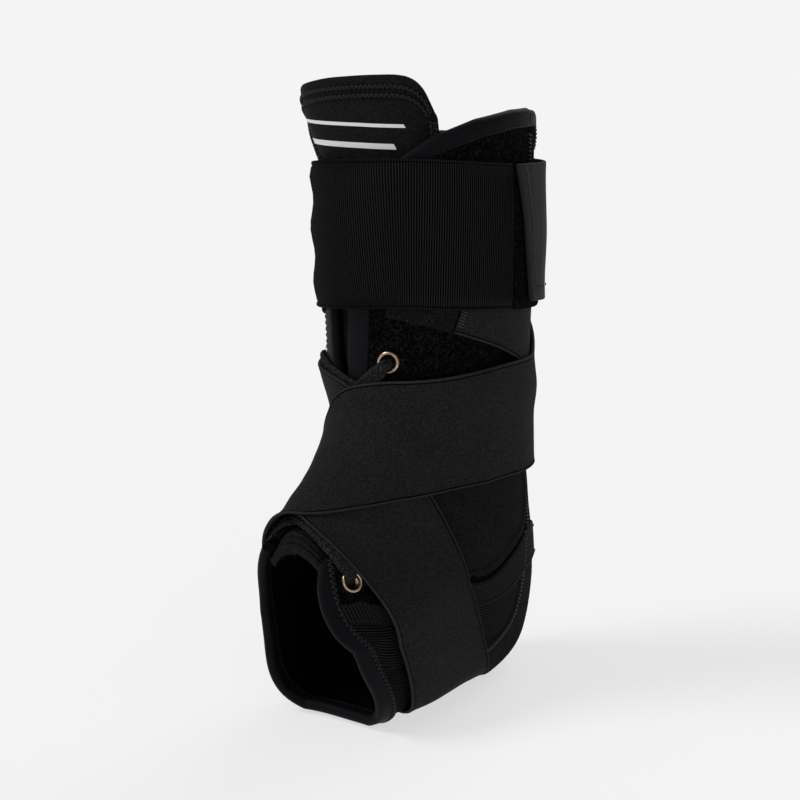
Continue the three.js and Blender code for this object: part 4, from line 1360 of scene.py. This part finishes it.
def cuff():
    def top(s, a):
        return over_straps(s, a) + CUFF_WALL

    def relief(spot):
        inside = ease(spot.edge, 2.6, 3.6)
        edge = ridge(spot.edge, 0.8, 0.8, 0.2) + groove(spot.edge, 2.1, 0.4, 0.3)
        waves = 0.9 * np.exp(-(((spot.angle + 52) / 26) ** 2)) * np.sin(spot.u * 0.27 + 0.4)
        return ribs(spot.v, CUFF_RIB, 0.26) * inside + edge + waves * ease(spot.edge, 0, 6)

    length, at = Route(CUFF_ROUTE, 1).ribbon(CUFF_END, CUFF_TAIL, CUFF_WIDTH, CUFF_SLANT)
    strap, _ = cloth("cuff_elastic", RIBBED, at, length, CUFF_WIDTH, int(length / CUFF_RIB * 4),
                     woven(CUFF_WIDTH, 14), over_straps, top, relief, wall=STRAP_WALL)
    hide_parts("cuff_strap")

    start = at(np.array([0.0]), np.linspace(0, CUFF_WIDTH, 31))
    tail = at(np.array([length]), np.linspace(0, CUFF_WIDTH, 31))

    def base_at(along, across):
        share = mix(0.02, 0.98, across / CUFF_OPENING)[None, :]
        columns = []
        for k, whole in ((0, 0), (1, 360)):
            a = np.interp(along / CUFF_WIDTH * 30, np.arange(31), start[k][0])[:, None]
            b = np.interp(along / CUFF_WIDTH * 30, np.arange(31), tail[k][0])[:, None] + whole
            columns.append(mix(a, b, share))
        return tuple(columns)

    base, spot = cloth("cuff_base_velour", VELOUR, base_at, CUFF_WIDTH, CUFF_OPENING, 60, 50, over_straps,
                       lambda s, a: top(s, a) - 0.2,
                       lambda spot: swell(spot.station, spot.angle, 14, 0.15), wall=STRAP_WALL)
    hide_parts("cuff_base")
    cuff_tab(top)


def cuff_tab(top):
    """The flap that closes the cuff. top gives the lift of the cuff's outer face."""
    tab_length, tab_width = CUFF_WIDTH, CUFF_TAB_WIDTH

    def tab_at(v, u):
        station = mix(1.0, 2.2, v)
        return station, mix(mix(91.5, 107, v), 168, u)

    def tab_lift(s, a):
        return top(s, a) + STRAP_GAP + 1.2 * ease(a, 100, 124) * (1 - ease(a, 138, 164))

    def tab_relief(spot):
        folded = 0.5 * (1 - ease(spot.u, 4.2, 4.9)) + groove(spot.u, 4.6, 0.5, 0.3)
        channel = groove(spot.length - spot.v, 6.5, 0.6, 0.25)
        return folded + channel + swell(spot.station, spot.angle, 12, 0.12)

    tab, spot = cloth("cuff_tab_flap", TAB, meshed(tab_at, tab_length, tab_width), tab_length, tab_width,
                      80, 60, tab_lift, lambda s, a: tab_lift(s, a) + TAB_WALL, tab_relief,
                      wall=STRAP_WALL)
    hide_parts("cuff_tab")
    v = np.linspace(0.03, 0.97, 120)
    u = np.linspace(0.1, 0.97, 120)
    left = tab_at(v, np.full(120, 3.4 / tab_width))
    foot = tab_at(np.full(120, 1 - 6.5 / tab_length), u)
    sewn("cuff_tab_stitches", [
        {"line": left, "lift": tab_lift(*left) + TAB_WALL + 0.5, "pitch": 1.5, "kind": "bars", "sway": 1.2,
         "radius": 0.26, "slant": 0.3},
        {"line": foot, "lift": tab_lift(*foot) + TAB_WALL, "pitch": 1.8, "radius": 0.24},
    ])


def eyelets():
    for name, side in SIDES:
        for number, (s, a) in enumerate(zip(*eyelet_spots(side)), 1):
            centre, out = place(s, a, 0.0), slopes(s, a)[2]
            x_axis = unit(np.cross(out, np.array([0.0, 0.0, 1.0])))
            y_axis = np.cross(out, x_axis)
            bore = EYELET_RADIUS - 1.5
            middle, half = (EYELET_RADIUS + bore) / 2, (EYELET_RADIUS - bore) / 2
            turn = np.radians(np.linspace(-20, 180, EYELET_PROFILE_STEPS))
            profile = [(middle + half * math.cos(t), 0.25 + 0.85 * math.sin(t)) for t in turn]
            profile += [(bore, -3.4), (bore + 0.35, -3.5), (bore + 0.45, -3.4), (bore + 0.45, -0.05),
                        (middle + half * 0.8, -0.05)]
            k = len(profile)
            sides = EYELET_SIDES
            rings = [
                centre + (x_axis * math.cos(t) + y_axis * math.sin(t)) * r + out * h
                for t in np.radians(np.arange(sides) * 360 / sides) for r, h in profile
            ]
            faces = [[i * k + j, i * k + (j + 1) % k, ((i + 1) % sides) * k + (j + 1) % k,
                      ((i + 1) % sides) * k + j] for i in range(sides) for j in range(k)]
            ring = mesh_object(f"{name}_eyelet_ring_{number}", np.array(rings), faces, BRASS)
            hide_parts(f"{name}_eyelet_{number}")


def strand(start, end, sag, dip, half_width):
    """Rings of one run of lace from eyelet to eyelet."""
    f = np.linspace(0, 1, 96)
    station = mix(start[0], end[0], f) - dip * np.sin(np.pi * f)
    angle = mix(start[1], end[1], f)
    near = np.minimum(f, 1 - f)
    lift = mix(LACE_HIGH, LACE_LOW, ease(near, 0.1, 0.25)) + sag * ease(near, 0.3, 0.5)
    lift = lift - 4.2 * (1 - ease(near, 0.0, 0.035))
    half = mix(2.5, half_width, ease(near, 0.0, 0.1))
    centre = place(station, angle, lift)
    out = slopes(station, angle)[2]
    along = unit(np.gradient(centre, axis=0))
    wide = unit(np.cross(out, along))
    up = np.cross(along, wide)
    run = distances(centre, 0)
    turn = np.radians(np.arange(LACE_SECTION) * 360 / LACE_SECTION)
    x = np.cos(turn)[None, :] * np.ones_like(run)[:, None]
    y = np.sign(np.sin(turn)) * np.abs(np.sin(turn)) ** 0.8
    plait = np.sin(2 * np.pi * (run[:, None] / 1.9 + np.abs(x) * half[:, None] / 2.4))
    rib = np.cos(2 * np.pi * x * half[:, None] / 2.0)
    thick = LACE_THICK / 2 * (1 + 0.42 * plait + 0.3 * rib)
    points = (centre[:, None] + wide[:, None] * (x * half[:, None])[..., None]
              + up[:, None] * (y[None, :] * thick)[..., None])
    uv = np.stack(np.broadcast_arrays(run[:, None], turn[None, :] * half_width), -1)
    return points, uv


def lace():
    left = list(zip(*eyelet_spots(1)))
    right = list(zip(*eyelet_spots(-1)))
    runs = []
    for i in range(EYELETS_PER_SIDE - 1):
        droop = -0.45 if i == 0 else 0
        runs.append(strand(left[i], right[i + 1], -0.4 if i % 2 else -1.5, droop, LACE_WIDTH / 2))
        runs.append(strand(right[i], left[i + 1], -1.5 if i % 2 else -0.4, 0, LACE_WIDTH / 2))
    runs.append(strand(left[-1], right[-1], -0.6, 1.1, LACE_WIDTH / 2))
    points, uvs, faces, count = [], [], [], 0
    k = LACE_SECTION
    for ring_points, uv in runs:
        n = len(ring_points)
        i, j = np.meshgrid(np.arange(n - 1), np.arange(k), indexing="ij")
        here, beside = count + (i * k + j).ravel(), count + (i * k + (j + 1) % k).ravel()
        faces += np.stack([here, beside, beside + k, here + k], -1).tolist()
        faces += [list(range(count, count + k)), list(range(count + (n - 1) * k, count + n * k))[::-1]]
        points.append(ring_points.reshape(-1, 3))
        uvs.append(uv.reshape(-1, 2))
        count += n * k
    made = mesh_object("lace_braid", np.concatenate(points), faces, CORD, np.concatenate(uvs))
    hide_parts("lace")


# Camera, floor and light

CAMERA_PLACE = (0.6799, 0.5344, 0.3067)
CAMERA_AIM = (0.043, 0.0, 0.130)
LENS = 89.5
SHIFT_RIGHT = -0.0113


def camera():
    data = bpy.data.cameras.new("camera")
    data.lens = LENS
    data.sensor_width = 36
    data.shift_x = SHIFT_RIGHT
    made = bpy.data.objects.new("camera", data)
    made.location = CAMERA_PLACE
    made.rotation_euler = (Vector(CAMERA_AIM) - Vector(CAMERA_PLACE)).to_track_quat("-Z", "Y").to_euler()
    bpy.context.scene.collection.objects.link(made)
    bpy.context.scene.camera = made


BACKDROP = 0.905
WORLD_LIGHT = 0.32
FLOOR_ALBEDO = 0.3
LAMPS = (
    ("key", (0.7, -0.55, 1.0), 1.6, 24),
    ("fill", (0.75, 1.0, 0.45), 0.4, 40),
    ("back", (-1.0, -0.2, 0.8), 0.9, 40),
)


def lamp(name, towards, strength, spread):
    """A soft box far away, so that the floor is lit evenly. spread is its width in degrees."""
    data = bpy.data.lights.new(name, "SUN")
    data.energy = strength
    data.angle = math.radians(spread)
    made = bpy.data.objects.new(name, data)
    made.rotation_euler = Vector(towards).to_track_quat("Z", "Y").to_euler()
    bpy.context.scene.collection.objects.link(made)


def glowing(name, albedo, glow):
    made = Finish(name, None, 0.9, specular_ior_level=0.0)
    made.colour((albedo, albedo, albedo, 1.0))
    made.shader.inputs["Emission Color"].default_value = (1.0, 1.0, 1.0, 1.0)
    made.shader.inputs["Emission Strength"].default_value = glow
    return made


def studio():
    """A pale floor and backdrop that come out as one even tone, with soft lamps."""
    size = 40
    mesh = bpy.data.meshes.new("floor")
    mesh.from_pydata([(-size, -size, 0), (size, -size, 0), (size, size, 0), (-size, size, 0)], [],
                     [(0, 1, 2, 3)])
    floor = bpy.data.objects.new("floor", mesh)
    lit = WORLD_LIGHT + sum(strength * towards[2] / math.dist(towards, (0, 0, 0)) / math.pi
                            for _, towards, strength, _ in LAMPS)
    mesh.materials.append(glowing("pale_floor", FLOOR_ALBEDO, BACKDROP - FLOOR_ALBEDO * lit).material)
    shell = bmesh.new()
    bmesh.ops.create_uvsphere(shell, u_segments=48, v_segments=24, radius=size * 0.99)
    wall_mesh = bpy.data.meshes.new("backdrop")
    shell.to_mesh(wall_mesh)
    shell.free()
    wall = bpy.data.objects.new("backdrop", wall_mesh)
    wall_mesh.materials.append(glowing("pale_backdrop", 0.0, BACKDROP).material)
    for stage_piece in (floor, wall):
        bpy.context.scene.collection.objects.link(stage_piece)
    wall.visible_diffuse = False
    wall.visible_glossy = False
    wall.visible_shadow = False
    world = bpy.data.worlds.new("studio")
    world.use_nodes = True
    background = world.node_tree.nodes["Background"]
    background.inputs["Color"].default_value = (1.0, 1.0, 1.0, 1.0)
    background.inputs["Strength"].default_value = WORLD_LIGHT
    bpy.context.scene.world = world
    for name, towards, strength, spread in LAMPS:
        lamp(name, towards, strength, spread)
    bpy.context.scene.view_settings.view_transform = "Standard"


camera()
studio()
side_panels()
back_panel()
heel_cup()
toe_tape()
ankle_band()
stay_pockets()
tongue()
straps()
cuff()
eyelets()
lace()
